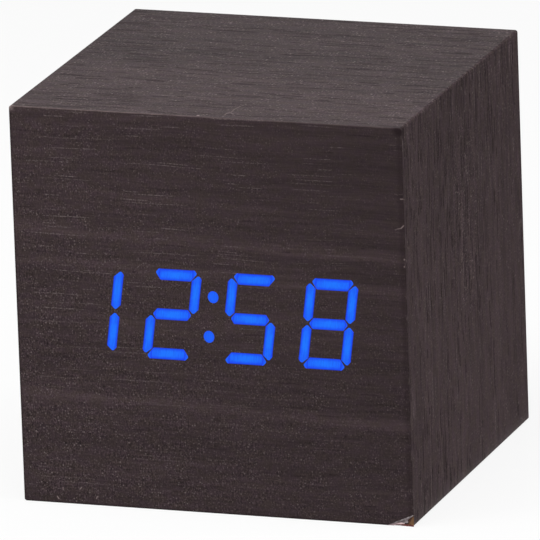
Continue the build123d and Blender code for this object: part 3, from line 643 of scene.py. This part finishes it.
def worn_and_highlight_share(film, face, run, flat):
    """How far the film is rubbed pale: in a soft line of changing strength along the front's upper edge, which is
    partly wear and partly a painted highlight on the fold, faintly along the others, most at the front's upper left
    corner, and in the small scratches."""
    x, y, z = film.place
    reaches = {"X": HALF_WIDTH - abs(x), "Y": HALF_DEPTH - abs(y), "Z": HEIGHT / 2 - abs(z - HEIGHT / 2)}
    rim = reaches[face.run].least(reaches[face.cross])
    rubbed = film.noise(run / 2.2, y / 2.2, flat / 2.2, 4, 0.7)
    faint = film.step(rim, 0.25, 0.05) * film.step(rubbed, 0.50, 0.75) * 0.35
    # Along the front's upper edge: partly wear and partly a painted highlight on the fold
    to_top_front = ((HEIGHT - z) * 1.9).most(y - FRONT_FACE)
    left_part = film.step(x, HALF_WIDTH - 1.2, HALF_WIDTH - 2.2)
    edge = film.step(to_top_front, 0.36, 0.10) * left_part * (film.step(rubbed, 0.3, 0.7) * 0.6 + 0.3)
    edge = edge * (film.step(x, 14, -14) * 0.6 + 0.4)
    tip = film.step(film.distance((-HALF_WIDTH, FRONT_FACE, HEIGHT)) + rubbed * 0.8, 1.5, 0.5)
    share = faint.most(edge * 0.52).most(tip * 0.85)
    for start, end, half_width, strength in MARKS.get(face.node, ()):
        share = share.most(film.scratch(start, end, half_width) * strength)
    return share * 0.75


def glow_finish(look):
    """Lit film: blue light that is brightest over the light chip in the middle of a stroke, deeper along the
    stroke's edge, and streaked upright by the film's print. A dot is brightest in its middle."""
    glow = Finish("lit_film")
    x, y, z = glow.place
    z = z - DISPLAY_HEIGHT
    x = x - z * DIGIT_SLANT
    from_digit = x / DIGIT_PITCH + 0.5
    from_digit = (from_digit - from_digit.whole()) * DIGIT_PITCH
    side = abs(abs(from_digit) - UPRIGHT_OFFSET)
    level = abs(z) / BAR_OFFSET
    level = abs(level - level.whole()) * BAR_OFFSET
    upright = glow.step(side, UPRIGHT_HALF + 0.1, UPRIGHT_HALF - 0.1)
    across = upright * side / UPRIGHT_HALF + (1 - upright) * level / BAR_HALF
    along = upright * abs(abs(z) - UPRIGHT_MIDDLE) + (1 - upright) * abs(from_digit)
    dot_x = x / DOT_HALF_WIDTH
    dot_z = (abs(z) - DOT_OFFSET) / DOT_HALF_HEIGHT
    in_dot = abs(x) < DOT_REACH
    across = in_dot * 0.6 * (dot_x * dot_x + dot_z * dot_z).root() + (1 - in_dot) * across
    streak = glow.noise(x / 0.17, z / 2.2, 3, 2, 0.6)
    cloud = glow.noise(x / 0.7, z / 0.7, 8)
    spread = glow.step(along + cloud * 2.4 - streak * 2.0, 3.3, 0.1) * (1 - in_dot * 0.25)
    blue = glow.shade(glow.blend(spread, look.core, look.patch), streak * 0.4 + 0.8)
    blue = glow.blend(glow.step(across + cloud * 0.3, 0.40, 1.2), blue, look.rim)
    blue = glow.shade(blue, 1 - glow.step(across, 0.86, 1.04) * 0.5)
    return glow.cover(
        Base_Color=(0.005, 0.006, 0.01), Roughness=0.5, Specular_IOR_Level=0.08, Emission_Color=blue,
        Emission_Strength=1.0,
    )


def fibreboard_finish(tint, name="fibreboard", shadow=0.0):
    """Pressed wood fibre: short pale and dark fibres that lie every way, with a few dark specks. shadow darkens
    it towards the left of the chipped corner."""
    board = Finish(name)
    x, y, z = board.place
    fibres = board.cloud((0.9, 0.35, 0.5), 5, 0.75)
    amount = fibres * 1.1 + board.cloud(4) * 0.35 + board.cloud(0.12, 1) * 0.25 + 0.15
    specks = board.step(board.cloud(0.4, 3), 0.62, 0.72)
    tone = board.blend(specks * 0.5, board.shade(tint, amount), (0.04, 0.02, 0.012))
    if shadow:
        left_part = board.step(x - z * 0.7, HALF_WIDTH - 0.95, HALF_WIDTH - 1.35)
        tone = board.blend(left_part * shadow, tone, (0.06, 0.022, 0.014))
    return board.cover(Base_Color=tone, Roughness=0.92, Normal=board.bump(fibres, 0.08, 0.7))


def plastic_finish(name, tint, gloss, texture_depth):
    """Moulded plastic: a fine spark-eroded texture and a slow drift of its tone."""
    plastic = Finish(name)
    texture = plastic.cloud(0.16)
    return plastic.cover(
        Base_Color=plastic.shade(tint, plastic.cloud(9) * 0.24 + texture * 0.12 + 0.82),
        Roughness=texture * 0.2 + gloss - 0.1,
        Normal=plastic.bump(texture, texture_depth, 0.5),
    )


def metal_finish(name, tint, gloss, lines=(0.05, 3, 3)):
    """Metal with fine drawn lines: lines gives their length along each axis."""
    metal = Finish(name)
    drawn = metal.cloud(lines, 3, 0.6)
    stain = metal.cloud(2.5, 3)
    return metal.cover(
        Base_Color=metal.shade(tint, stain * 0.3 + 0.82),
        Metallic=1.0,
        Roughness=drawn * 0.18 + stain * 0.14 + gloss - 0.16,
        Normal=metal.bump(drawn, 0.006, 0.5),
    )


def circuit_finish():
    """Green lacquer over copper: tracks that follow a square mesh, tinned pads and a woven ground."""
    board = Finish("circuit_board")
    x, y, z = board.place
    settings = {"voronoi_dimensions": "2D", "feature": "DISTANCE_TO_EDGE"}
    inputs = {"Vector": board.point(x / 2.4, z / 2.4), "Scale": 1.0, "Randomness": 0.55}
    tracks = board.step(board.node("ShaderNodeTexVoronoi", settings, inputs, "Distance"), 0.13, 0.1)
    pads = board.spots(x / 2.54, z / 2.54, 0.5, 0.16, 0.2)
    tinned = board.step(pads, 0.3, 0.4)
    green = board.shade((0.012, 0.10, 0.035), board.cloud(0.25, 1) * 0.4 + 0.8)
    green = board.blend(tracks * 0.75, green, (0.03, 0.20, 0.07))
    return board.cover(
        Base_Color=board.blend(tinned, green, (0.62, 0.60, 0.56)), Metallic=tinned, Roughness=0.34,
        Normal=board.bump(tracks + pads, 0.03, 0.6),
    )


def led_finish():
    """A light chip: white body with a yellow window in its front."""
    chip = Finish("led")
    x, y, z = chip.place
    grain = chip.cloud(0.2)
    front = box("led_chips")[0].y
    body = chip.shade((0.80, 0.80, 0.76), grain * 0.2 + 0.9)
    window = chip.step(y, front + 0.12, front + 0.02) * 0.8
    return chip.cover(Base_Color=chip.blend(window, body, (0.75, 0.66, 0.18)), Roughness=0.3 + grain * 0.1)


def cell_finish():
    """A dry cell's plain dark jacket, scuffed along its length."""
    cell = Finish("cell_jacket")
    scuffs = cell.cloud((3, 0.5, 0.5), 4, 0.65)
    cloud = cell.cloud(6)
    dark = cell.shade((0.055, 0.06, 0.07), cloud * 0.5 + 0.75)
    return cell.cover(
        Base_Color=cell.blend(cell.step(scuffs, 0.58, 0.72) * 0.3, dark, (0.3, 0.3, 0.3)),
        Roughness=scuffs * 0.2 + 0.22, Coat_Weight=0.3, Normal=cell.bump(cloud, 0.02, 0.4),
    )


def lead_finish(name, tint):
    """Soft insulation: matt, dusty in places."""
    lead = Finish(name)
    dust = lead.cloud(0.8, 4, 0.7)
    tone = lead.blend(lead.step(dust, 0.5, 0.8) * 0.25, lead.shade(tint, dust * 0.3 + 0.85), (0.3, 0.28, 0.26))
    return lead.cover(Base_Color=tone, Roughness=dust * 0.2 + 0.45)


def sheet_finish(name, tint, rough, translucent=0.0):
    """A plain moulded or cast sheet with a faint cloud."""
    sheet = Finish(name)
    fine = sheet.cloud(0.3)
    return sheet.cover(
        Base_Color=sheet.shade(tint, sheet.cloud(3, 3) * 0.12 + fine * 0.06 + 0.9),
        Roughness=fine * 0.12 + rough - 0.06,
        Subsurface_Weight=translucent,
        Normal=sheet.bump(fine, 0.01, 0.4),
    )


def paper_finish(name, dull, pale, spread):
    """Torn film backing: fluffy fibres, dull with pale patches that are partly paler fibres and partly painted
    highlights on the crumples. spread gives the pale share at the tear's left tip and at its right end."""
    paper = Finish(name)
    x, y, z = paper.place
    fluff = paper.cloud((0.16, 0.2, 0.07), 4, 0.7)
    patch = paper.cloud((0.45, 0.5, 0.3))
    right = paper.step(x, HALF_WIDTH - 4.2, HALF_WIDTH - 1.6) * (spread[1] - spread[0]) + spread[0]
    # The pale patches are partly paler fibres and partly painted highlights on the crumples
    share = paper.step(fluff * 0.8 + patch * 0.8 + right, 0.9, 1.35)
    return paper.cover(Base_Color=paper.blend(share, dull, pale), Roughness=0.8, Normal=paper.bump(fluff, 0.04, 0.7))


def wobble(shares, seed, waves=9):
    """A seeded ragged line from -1 to 1: a sum of sines of rising frequency and falling height."""
    rng = np.random.default_rng(seed)
    phases = rng.uniform(0, 2 * np.pi, waves)
    speeds = 2.0 * 1.5 ** np.arange(waves)
    heights = 0.78 ** np.arange(waves)
    line = np.sum(heights[:, None] * np.sin(np.outer(speeds, shares * 2 * np.pi) + phases[:, None]), axis=0)
    return line / np.abs(line).max()


# The torn corner in millimetres: rows of the distance right of the tear's left tip, and of the upper and the
# lower height there. Then the depth of the layer's root at both ends and how far it lifts towards the front
TORN = {
    "lip": (((0.55, 0.25, 0.17), (2.4, 1.05, 0.88), (4.24, 1.87, 1.68)), (0.12, 0.12), 0.08),
    "fold": (((1.10, 0.48, 0.38), (2.2, 0.92, 0.60), (3.3, 1.42, 1.02), (3.95, 1.70, 1.46)), (0.30, 0.30), 0.12),
    "crease": (((1.55, 0.62, 0.46), (2.6, 0.96, 0.50), (3.35, 1.10, 0.50)), (0.42, 0.42), 0.20),
    "tongue": (((0.08, 0.07, 0.015), (1.15, 0.52, 0.03), (1.5, 0.51, 0.19), (2.2, 0.57, 0.28), (2.80, 0.64, 0.34)),
               (0.16, 0.30), 0.14),
    "hem": (((1.30, 0.26, 0.02), (2.6, 0.36, 0.02), (4.27, 0.26, 0.02)), (0.34, 0.10), 0.04),
    "board": (((3.02, 0.50, 0.08), (3.32, 0.92, 0.08), (3.95, 1.52, 0.08), (4.28, 1.66, 0.08)), (0.56, 0.14), 0.04),
}


def torn_layer(chip, shape, seed, ragged=0.035, count=110, rows=12):
    """A torn strip in the chipped corner. Its upper and lower lines join the shape's points straight and are
    ragged; across it, depth comes forward from root by lift times the square of the share across, and it is
    crumpled along and across."""
    outline, root, lift = shape
    left = HALF_WIDTH - chip.width / MM
    deepest = chip.depth / MM - 0.03
    reach, upper, lower = np.array(outline).T
    s = np.linspace(0, 1, count)
    t = np.linspace(0, 1, rows)[:, None]
    run = reach[0] + (reach[-1] - reach[0]) * s
    top = np.interp(run, reach, upper) + ragged * 0.6 * (wobble(s, seed) - 1)
    bottom = np.interp(run, reach, lower) + ragged * wobble(s, seed + 1)
    z = np.clip(top + (bottom - top) * t, 0.015, None)
    crumple = ragged * (wobble(s, seed + 2) * np.sin(np.pi * t) + wobble(s, seed + 3, 12) * np.sin(3 * np.pi * t))
    y = np.clip(root[0] + (root[1] - root[0]) * s - lift * t**2 - crumple, 0.02, deepest)
    points = np.stack([np.broadcast_to(left + run, z.shape), FRONT_FACE + y, z], axis=-1)
    return points, grid_faces(rows, count)[:, ::-1]


def make_torn_film(chip):
    """The film's torn layers below the tear: a thin lip along it, a fold and a crease of dull backing, a pale
    tongue along the bottom, and a dark red hem under that."""
    # Each layer's dull colour, its pale colour, which is partly painted highlight, and its pale share at the tear's
    # left tip and right end
    papers = {
        "lip": ((0.22, 0.18, 0.19), (0.62, 0.56, 0.57), (0.16, 0.26)),
        "fold": (chip.paper, (0.42, 0.36, 0.37), (0.15, 0.3)),
        "crease": (chip.paper, (0.46, 0.40, 0.41), (0.1, 0.3)),
        "tongue": ((0.36, 0.26, 0.275), (0.72, 0.54, 0.53), (-0.12, 0.42)),
        "hem": ((0.10, 0.017, 0.014), (0.15, 0.045, 0.03), (0.0, 0.1)),
    }
    for number, (layer, tones) in enumerate(papers.items()):
        name = "torn_" + layer
        surface = torn_layer(chip, TORN[layer], number * 10 + 1)
        thicken(make_piece(name, [surface], paper_finish(name, *tones)), 0.03)


def make_broken_board(chip):
    """The broken fibreboard: a rough wall in the wedge's right part, darker at its left."""
    surface = torn_layer(chip, TORN["board"], 61, ragged=0.03, count=70, rows=46)
    piece = make_piece("broken_board", [surface], fibreboard_finish(chip.board, "broken_board", 0.85))
    thicken(piece, 0.05)


def thicken(piece, thickness):
    """Gives a sheet its thickness, inwards from its outer face."""
    solid = piece.modifiers.new("thickness", "SOLIDIFY")
    solid.thickness = thickness * MM
    solid.offset = -1.0
    solid.use_even_offset = False


# The cells: the name of each, its row from the middle one, and the side that its flat base faces
CELLS = (("front_cell", -1, -1), ("middle_cell", 0, 1), ("rear_cell", 1, -1))
# A cell's profile: millimetres in from its flat base, and back from its contact's tip, each with the share of the
# cell's radius there
CELL_BASE = (
    (0.0, 0.0), (0.0, 0.62), (0.03, 0.70), (0.09, 0.74), (0.09, 0.80), (0.02, 0.84), (0.0, 0.90), (0.05, 0.965),
    (0.22, 1.0), (0.6, 1.0),
)
CELL_TIP = (
    (1.9, 1.0), (1.45, 1.0), (1.15, 0.975), (1.02, 0.91), (1.06, 0.84), (1.16, 0.78), (1.14, 0.46), (1.04, 0.40),
    (0.98, 0.372), (0.2, 0.362), (0.05, 0.34), (0.0, 0.30), (0.0, 0.0),
)


def cell_size():
    """The cells' radius, the distance from one to the next, and how far from the middle their bases are."""
    low, high = box("battery_cells")
    radius = (high.z - low.z) / 2
    return radius, (high.y - low.y) / 2 - radius, high.x


def make_coils(coil):
    """Three battery springs. Each is a wire carried along a coil whose radius narrows evenly from its plate
    to its cell, and whose first and last half turns lie flat."""
    low, high = box("cell_springs")
    _, pitch, base = cell_size()
    radius = (high.z - low.z) / 2
    wire = coil.wire / MM
    turn = np.linspace(0, coil.turns * 2 * np.pi, int(coil.turns * 40))
    advance = np.clip((turn - np.pi) / (turn[-1] - 2 * np.pi), 0, 1)
    reach = (radius - wire / 2) * (1 - (1 - coil.narrow) * turn / turn[-1])
    ring = np.linspace(0, 2 * np.pi, 10, endpoint=False)
    profile = np.stack([np.cos(ring), np.sin(ring)], axis=1) * wire / 2
    outward = np.stack([np.zeros_like(turn), np.cos(turn), np.sin(turn)], axis=1)
    runs = []
    for name, row, side in CELLS:
        x = side * (high.x - wire / 2 - advance * (high.x - base - wire))
        path = outward * reach[:, None] + np.stack(np.broadcast_arrays(x, row * pitch, (low.z + high.z) / 2), axis=1)
        run = carried(profile, path, outward)
        runs.append(capped(run if side < 0 else run[:, ::-1]))
    piece = make_piece("spring_coils", runs, metal_finish("spring_wire", (0.72, 0.72, 0.74), 0.28))
    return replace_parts(piece, "cell_springs")


def make_ribbon(ribbon):
    """The flat cable: a row of round ridges carried along a path that leaves one connector level, hangs in one
    dip and comes level into the other. The path is quadratic curves that touch the lines between its points."""
    low, high = box("display_ribbon")
    thick = ribbon.thickness / MM
    top = high.z - thick / 2
    bottom = top - ribbon.dip / MM
    entry, slope = 0.235 * (high.y - low.y), 0.38 * (high.y - low.y)
    corners = np.array([
        (low.y, top), (low.y + entry, top), (low.y + slope, bottom),
        (high.y - slope, bottom), (high.y - entry, top), (high.y, top),
    ])
    joints = np.vstack([corners[:1], (corners[1:-2] + corners[2:-1]) / 2, corners[-1:]])
    t = np.linspace(0, 1, 16)[:, None]
    bends = [
        (1 - t)**2 * joints[number] + 2 * t * (1 - t) * corners[number + 1] + t**2 * joints[number + 1]
        for number in range(len(joints) - 1)
    ]
    path = np.vstack([bends[0], *[bend[1:] for bend in bends[1:]]])
    path = np.column_stack([np.zeros(len(path)), path])
    half = (high.x - low.x) / 2
    w = np.linspace(-1, 1, ribbon.conductors * 10 + 1)
    ridge = thick / 2 * np.sqrt(np.clip(1 - ((w * ribbon.conductors + 1) % 2 - 1)**2 * 0.82, 0, 1))
    profile = np.vstack([np.stack([w * half, ridge], axis=1), np.stack([w * half, -ridge], axis=1)[::-1]])
    surface = capped(carried(profile, path, (1, 0, 0)))
    piece = make_piece("ribbon_cable", [surface], ribbon_finish(ribbon, half))
    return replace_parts(piece, "display_ribbon")


def ribbon_finish(ribbon, half):
    """Grey cable with one red conductor at its edge."""
    cable = Finish("ribbon_cable")
    x, y, z = cable.place
    dust = cable.cloud((0.5, 2, 2), 3)
    first = -half + 2 * half / ribbon.conductors
    tone = cable.blend(cable.step(x, first + 0.03, first - 0.03), (0.42, 0.42, 0.43), (0.45, 0.03, 0.02))
    return cable.cover(Base_Color=cable.shade(tone, dust * 0.3 + 0.85), Roughness=dust * 0.15 + 0.38)


def make_cells():
    """Three dry cells turned from a profile: a rolled jacket edge at each end, a flat base, and a raised
    contact inside its groove. Points are the profile's radius swung about the cell's axis."""
    low, high = box("battery_cells")
    radius, pitch, base = cell_size()
    full = base + box("cell_springs")[1].x
    profile = np.array([*CELL_BASE, *((full - back, share) for back, share in CELL_TIP)])
    turn = np.linspace(0, 2 * np.pi, 72, endpoint=False)
    faces = grid_faces(len(profile), len(turn), closed=True)
    bare = metal_finish("cell_end", (0.70, 0.70, 0.71), 0.3, (3, 0.3, 0.3))
    jacket = cell_finish()
    for name, row, side in CELLS:
        x = side * (base - profile[:, :1])
        y = row * pitch + radius * profile[:, 1:] * np.cos(turn)
        z = (high.z + low.z) / 2 + radius * profile[:, 1:] * np.sin(turn)
        points = np.stack([np.broadcast_to(x, y.shape), y, z], axis=-1)
        piece = make_piece(name, [(points, faces)], jacket)
        piece.data.materials.append(bare)
        mark_bare_ends(piece, side, base, full)
        recalculate(piece)
        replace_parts(piece, "battery_cells")


def mark_bare_ends(piece, side, base, full):
    """Gives the second material to the faces beyond the jacket's rolled edges."""
    mesh = piece.data
    centres = np.empty(len(mesh.polygons) * 3)
    normals = np.empty(len(mesh.polygons) * 3)
    mesh.polygons.foreach_get("center", centres)
    mesh.polygons.foreach_get("normal", normals)
    along = base - centres[::3] / MM * side
    bare = (along > full - 1.1) | ((along < 0.12) & (np.abs(normals[::3]) > 0.4))
    mesh.polygons.foreach_set("material_index", bare.astype(np.int32))


def recalculate(piece):
    """Merges points that lie together and turns every face outwards."""
    made = bmesh.new()
    made.from_mesh(piece.data)
    bmesh.ops.remove_doubles(made, verts=made.verts, dist=0.002 * MM)
    bmesh.ops.recalc_face_normals(made, faces=made.faces)
    made.to_mesh(piece.data)
    made.free()


def polar_plate(middle_x, middle_z, radii, inner, turn):
    """A thin flat sign on the rear face: rings of points at the share of radii that each ring has, with an
    outer wall 0.03 mm high. inner is the share at its hole, or 0 for none."""
    outer, sunk = REAR_FACE + 0.03, REAR_FACE - 0.02
    shares = np.array([inner, inner, 1.0, 1.0])[:, None]
    depth = np.array([sunk, outer, outer, sunk])[:, None]
    x = middle_x + shares * radii * np.cos(turn)
    z = middle_z + shares * radii * np.sin(turn)
    points = np.stack([x, np.broadcast_to(depth, x.shape), z], axis=-1)
    return points, grid_faces(len(shares), len(turn), closed=True)


def make_signs(ink):
    """Plain signs printed over the three buttons: a ring, a triangle that points up and one that points down.
    A triangle's radius is its inscribed circle's, divided by the cosine of the angle from its nearest side."""
    size = ink.size / MM
    turn = np.linspace(0, 2 * np.pi, 96, endpoint=False)
    wedge = 2 * np.pi / 3
    signs = []
    for name, tip in (("set_button", None), ("up_button", np.pi / 2), ("down_button", -np.pi / 2)):
        low, high = box(name)
        radii, inner = np.full_like(turn, size * 0.95), 0.62
        if tip is not None:
            radii, inner = size * 0.62 / np.cos((turn - tip) % wedge - wedge / 2), 0.0
        signs.append(polar_plate((low.x + high.x) / 2, high.z + 2.6, radii, inner, turn))
    piece = make_piece("button_signs", signs, ink_finish(ink.ink), smooth=False)
    recalculate(piece)


def ink_finish(tint):
    """Screen-printed ink, thin in places."""
    ink = Finish("printed_ink")
    thin = ink.cloud((0.12, 1, 0.12), 3)
    return ink.cover(Base_Color=ink.shade(tint, thin * 0.5 + 0.7), Roughness=thin * 0.2 + 0.5)


def make_camera(shot):
    """The camera stands back from its aim along one direction, turned about that direction by the roll."""
    sine, cosine = math.sin(shot.azimuth), math.cos(shot.azimuth)
    flat = math.cos(shot.elevation)
    back = Vector((sine * flat, -cosine * flat, math.sin(shot.elevation)))
    level = Vector((cosine, sine, 0))
    right = level * math.cos(shot.roll) + back.cross(level) * math.sin(shot.roll)
    turn = Matrix((right, back.cross(right), back)).transposed().to_4x4()
    data = bpy.data.cameras.new("camera")
    data.lens = shot.lens
    data.sensor_width = 36
    data.clip_end = 100
    camera = bpy.data.objects.new("camera", data)
    camera.matrix_world = Matrix.Translation(Vector(shot.aim) + back * shot.distance) @ turn
    bpy.context.scene.collection.objects.link(camera)
    bpy.context.scene.camera = camera


def make_floor(shot):
    """A pale floor with a hole just inside the clock's outline, so that light reaches the underside when it is
    looked at. The floor is four flat sides round the hole, and it is clear from below."""
    inset, drop = 2.0, 0.05
    corners = np.array([(-1, -1), (1, -1), (1, 1), (-1, 1)])
    inner = corners * (HALF_WIDTH - inset, HALF_DEPTH - inset)
    rings = np.stack([inner, corners * shot.floor_reach / MM])
    points = np.concatenate([rings, np.full((2, 4, 1), -drop)], axis=2)
    floor = make_object("floor", [(points, grid_faces(2, 4, closed=True))], floor_finish(shot))


def floor_finish(shot):
    """Matt pale floor. In view and in reflections part of it is plain white, so that the picture's ground is
    white and still keeps the clock's shadow. From below it is clear."""
    floor = Finish("floor")
    matt = floor.node("ShaderNodeBsdfDiffuse", None, {"Color": opaque(shot.floor_colour)})
    inputs = {0: floor.seen() * shot.floor_glare, 1: matt, 2: floor.glow(1.0)}
    top = floor.node("ShaderNodeMixShader", None, inputs)
    behind = floor.node("ShaderNodeNewGeometry", give="Backfacing")
    clear = floor.node("ShaderNodeBsdfTransparent")
    return floor.close(floor.node("ShaderNodeMixShader", None, {0: behind, 1: top, 2: clear}))


def make_world(shot):
    """Even white surroundings: white in view and in reflections, and a little less as light."""
    sky = Finish("surroundings", "worlds")
    strength = sky.seen() * (1 - shot.daylight) + shot.daylight
    ground = sky.node("ShaderNodeBackground", None, {"Color": opaque(WHITE), "Strength": strength})
    bpy.context.scene.world = sky.close(ground, "ShaderNodeOutputWorld")


def make_flag(shot):
    """A grey card, folded to lie on the floor and stand behind it, on the clock's right. Only reflections show
    it: it takes the sheen off the right side."""
    points = [(32, -60, 0), (600, -60, 0), (600, 420, 0), (32, 420, 0), (600, 420, 300), (32, 420, 300)]
    card = Finish("flag")
    flag = make_object("flag", [(points, [(0, 1, 2, 3), (3, 2, 4, 5)])], card.close(card.glow(shot.flag_grey)))
    for ray in ("camera", "diffuse", "shadow", "transmission"):
        setattr(flag, "visible_" + ray, False)


# The square lamps in metres: the side and the place of each. Its power is the setting of the same name
LAMPS = {
    "top_lamp": (0.5, (-0.05, -0.2, 0.7)),
    "left_lamp": (0.2, (-0.3, -0.23, 0.12)),
    "right_lamp": (0.8, (1.0, 0.05, 0.45)),
}


def make_lamps(shot):
    """Square soft lamps that face the clock's middle."""
    for name, (size, place) in LAMPS.items():
        data = bpy.data.lights.new(name, "AREA")
        data.energy = getattr(shot, name)
        data.size = size
        lamp = bpy.data.objects.new(name, data)
        lamp.location = place
        aim = Vector((0, 0, HEIGHT / 2 * MM)) - lamp.location
        lamp.rotation_euler = aim.to_track_quat("-Z", "Y").to_euler()
        bpy.context.scene.collection.objects.link(lamp)


class ClockOperator(Operator):
    """Shared settings of the clock's operators."""

    bl_options = {"REGISTER", "UNDO"}


class DESKCLOCK_OT_stage(ClockOperator):
    """Makes the camera, the floor, the surroundings and the lamps"""

    bl_idname = "desk_clock.stage"
    bl_label = "Camera, floor and lights"

    def execute(self, context):
        for make in (make_camera, make_floor, make_world, make_flag, make_lamps):
            make(context.scene.desk_clock_shot)
        context.scene.view_settings.view_transform = "Standard"
        return {"FINISHED"}


class DESKCLOCK_OT_film(ClockOperator):
    """Covers the cabinet in printed wood film"""

    bl_idname = "desk_clock.film"
    bl_label = "Wood film"

    def execute(self, context):
        for face in FACES:
            paint(film_finish(context.scene.desk_clock_film, face), face.node)
        return {"FINISHED"}


class DESKCLOCK_OT_digits(ClockOperator):
    """Lights the digits and the colon"""

    bl_idname = "desk_clock.digits"
    bl_label = "Glowing digits"

    def execute(self, context):
        names = [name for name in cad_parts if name.startswith("lit_")]
        paint(glow_finish(context.scene.desk_clock_glow), *names)
        return {"FINISHED"}


class DESKCLOCK_OT_boards(ClockOperator):
    """Finishes the fibreboard walls under the film"""

    bl_idname = "desk_clock.boards"
    bl_label = "Fibreboard"

    def execute(self, context):
        walls = [side + "_board" for side in ("top", "bottom", "left", "right", "front", "rear")]
        paint(fibreboard_finish((0.30, 0.17, 0.08)), *walls)
        return {"FINISHED"}


class DESKCLOCK_OT_chip(ClockOperator):
    """Tears the film and crumbles the board at the chipped corner"""

    bl_idname = "desk_clock.chip"
    bl_label = "Chipped corner"

    def execute(self, context):
        make_torn_film(context.scene.desk_clock_chip)
        make_broken_board(context.scene.desk_clock_chip)
        return {"FINISHED"}


class DESKCLOCK_OT_display(ClockOperator):
    """Finishes the display module behind the front"""

    bl_idname = "desk_clock.display"
    bl_label = "Display module"

    def execute(self, context):
        paint(sheet_finish("diffuser", (0.85, 0.86, 0.88), 0.5, 0.2), "light_diffuser")
        paint(sheet_finish("reflector", (0.82, 0.82, 0.80), 0.45), "segment_reflector")
        paint(led_finish(), "led_chips")
        return {"FINISHED"}


class DESKCLOCK_OT_ribbon(ClockOperator):
    """Makes the ribbed flat cable between the circuit boards"""

    bl_idname = "desk_clock.ribbon"
    bl_label = "Flat cable"

    def execute(self, context):
        make_ribbon(context.scene.desk_clock_ribbon)
        paint(sheet_finish("connector", (0.80, 0.78, 0.70), 0.4), "ribbon_connectors")
        return {"FINISHED"}


class DESKCLOCK_OT_electronics(ClockOperator):
    """Finishes both circuit boards and the parts on them"""

    bl_idname = "desk_clock.electronics"
    bl_label = "Circuit boards"

    def execute(self, context):
        paint(circuit_finish(), "display_board", "main_board")
        paint(plastic_finish("chip_black", (0.02, 0.02, 0.022), 0.5, 0.01), "display_driver", "clock_chip",
              "voltage_regulator", "alarm_buzzer", "switch_housings", "set_plunger", "up_plunger", "down_plunger")
        paint(metal_finish("steel", (0.55, 0.55, 0.56), 0.36), "display_screws", "main_board_screws",
              "battery_box_screws")
        paint(sheet_finish("nylon", (0.75, 0.75, 0.72), 0.4, 0.1), "display_spacers", "main_board_spacers")
        paint(metal_finish("aluminium", (0.70, 0.70, 0.72), 0.3, (3, 0.05, 3)), "clock_crystal", "capacitors",
              "microphone")
        paint(plastic_finish("sensor", (0.015, 0.02, 0.05), 0.25, 0.005), "temperature_sensor")
        return {"FINISHED"}


class DESKCLOCK_OT_buttons(ClockOperator):
    """Finishes the rear's buttons and socket, and prints the signs"""

    bl_idname = "desk_clock.buttons"
    bl_label = "Buttons and socket"

    def execute(self, context):
        paint(plastic_finish("button_plastic", (0.02, 0.02, 0.022), 0.34, 0.012), "set_button", "up_button",
              "down_button")
        paint(plastic_finish("socket_plastic", (0.025, 0.025, 0.027), 0.45, 0.02), "power_socket")
        paint(metal_finish("brass", (0.72, 0.55, 0.22), 0.28), "socket_pin")
        make_signs(context.scene.desk_clock_print)
        return {"FINISHED"}


class DESKCLOCK_OT_battery_bay(ClockOperator):
    """Finishes the battery bay, and makes its cells and their springs"""

    bl_idname = "desk_clock.battery_bay"
    bl_label = "Battery bay"

    def execute(self, context):
        paint(plastic_finish("bay_plastic", (0.025, 0.025, 0.027), 0.55, 0.03), "battery_box", "battery_door")
        paint(metal_finish("plate", (0.72, 0.72, 0.72), 0.3, (3, 0.05, 3)), "contact_plates")
        paint(lead_finish("lead_red", (0.55, 0.02, 0.015)), "red_lead")
        paint(lead_finish("lead_black", (0.015, 0.015, 0.016)), "black_lead")
        make_cells()
        make_coils(context.scene.desk_clock_coil)
        return {"FINISHED"}


SETTINGS = {
    "desk_clock_shot": ShotSettings,
    "desk_clock_film": FilmSettings,
    "desk_clock_glow": GlowSettings,
    "desk_clock_chip": ChipSettings,
    "desk_clock_coil": CoilSettings,
    "desk_clock_ribbon": RibbonSettings,
    "desk_clock_print": PrintSettings,
}
MAKERS = (
    DESKCLOCK_OT_stage,
    DESKCLOCK_OT_film,
    DESKCLOCK_OT_digits,
    DESKCLOCK_OT_boards,
    DESKCLOCK_OT_chip,
    DESKCLOCK_OT_display,
    DESKCLOCK_OT_ribbon,
    DESKCLOCK_OT_electronics,
    DESKCLOCK_OT_buttons,
    DESKCLOCK_OT_battery_bay,
)


class DESKCLOCK_PT_panel(Panel):
    """Lists the clock's makers and their settings."""

    bl_label = "Desk clock"
    bl_idname = "DESKCLOCK_PT_panel"
    bl_space_type = "VIEW_3D"
    bl_region_type = "UI"
    bl_category = "Clock"

    def draw(self, context):
        column = self.layout.column()
        for maker in MAKERS:
            column.operator(maker.bl_idname)
        for name, settings in SETTINGS.items():
            group = self.layout.box()
            for key in settings.__annotations__:
                group.prop(getattr(context.scene, name), key)


def register():
    """Registers the settings, the operators and the panel."""
    for settings in SETTINGS.values():
        bpy.utils.register_class(settings)
    for name, settings in SETTINGS.items():
        setattr(bpy.types.Scene, name, PointerProperty(type=settings))
    for maker in MAKERS:
        bpy.utils.register_class(maker)
    bpy.utils.register_class(DESKCLOCK_PT_panel)


def unregister():
    """Takes the panel, the operators and the settings away again."""
    bpy.utils.unregister_class(DESKCLOCK_PT_panel)
    for maker in reversed(MAKERS):
        bpy.utils.unregister_class(maker)
    for name, settings in SETTINGS.items():
        delattr(bpy.types.Scene, name)
        bpy.utils.unregister_class(settings)


def main():
    """Makes everything in order."""
    register()
    for maker in MAKERS:
        group, name = maker.bl_idname.split(".")
        getattr(getattr(bpy.ops, group), name)()


if __name__ == "__main__":
    main()
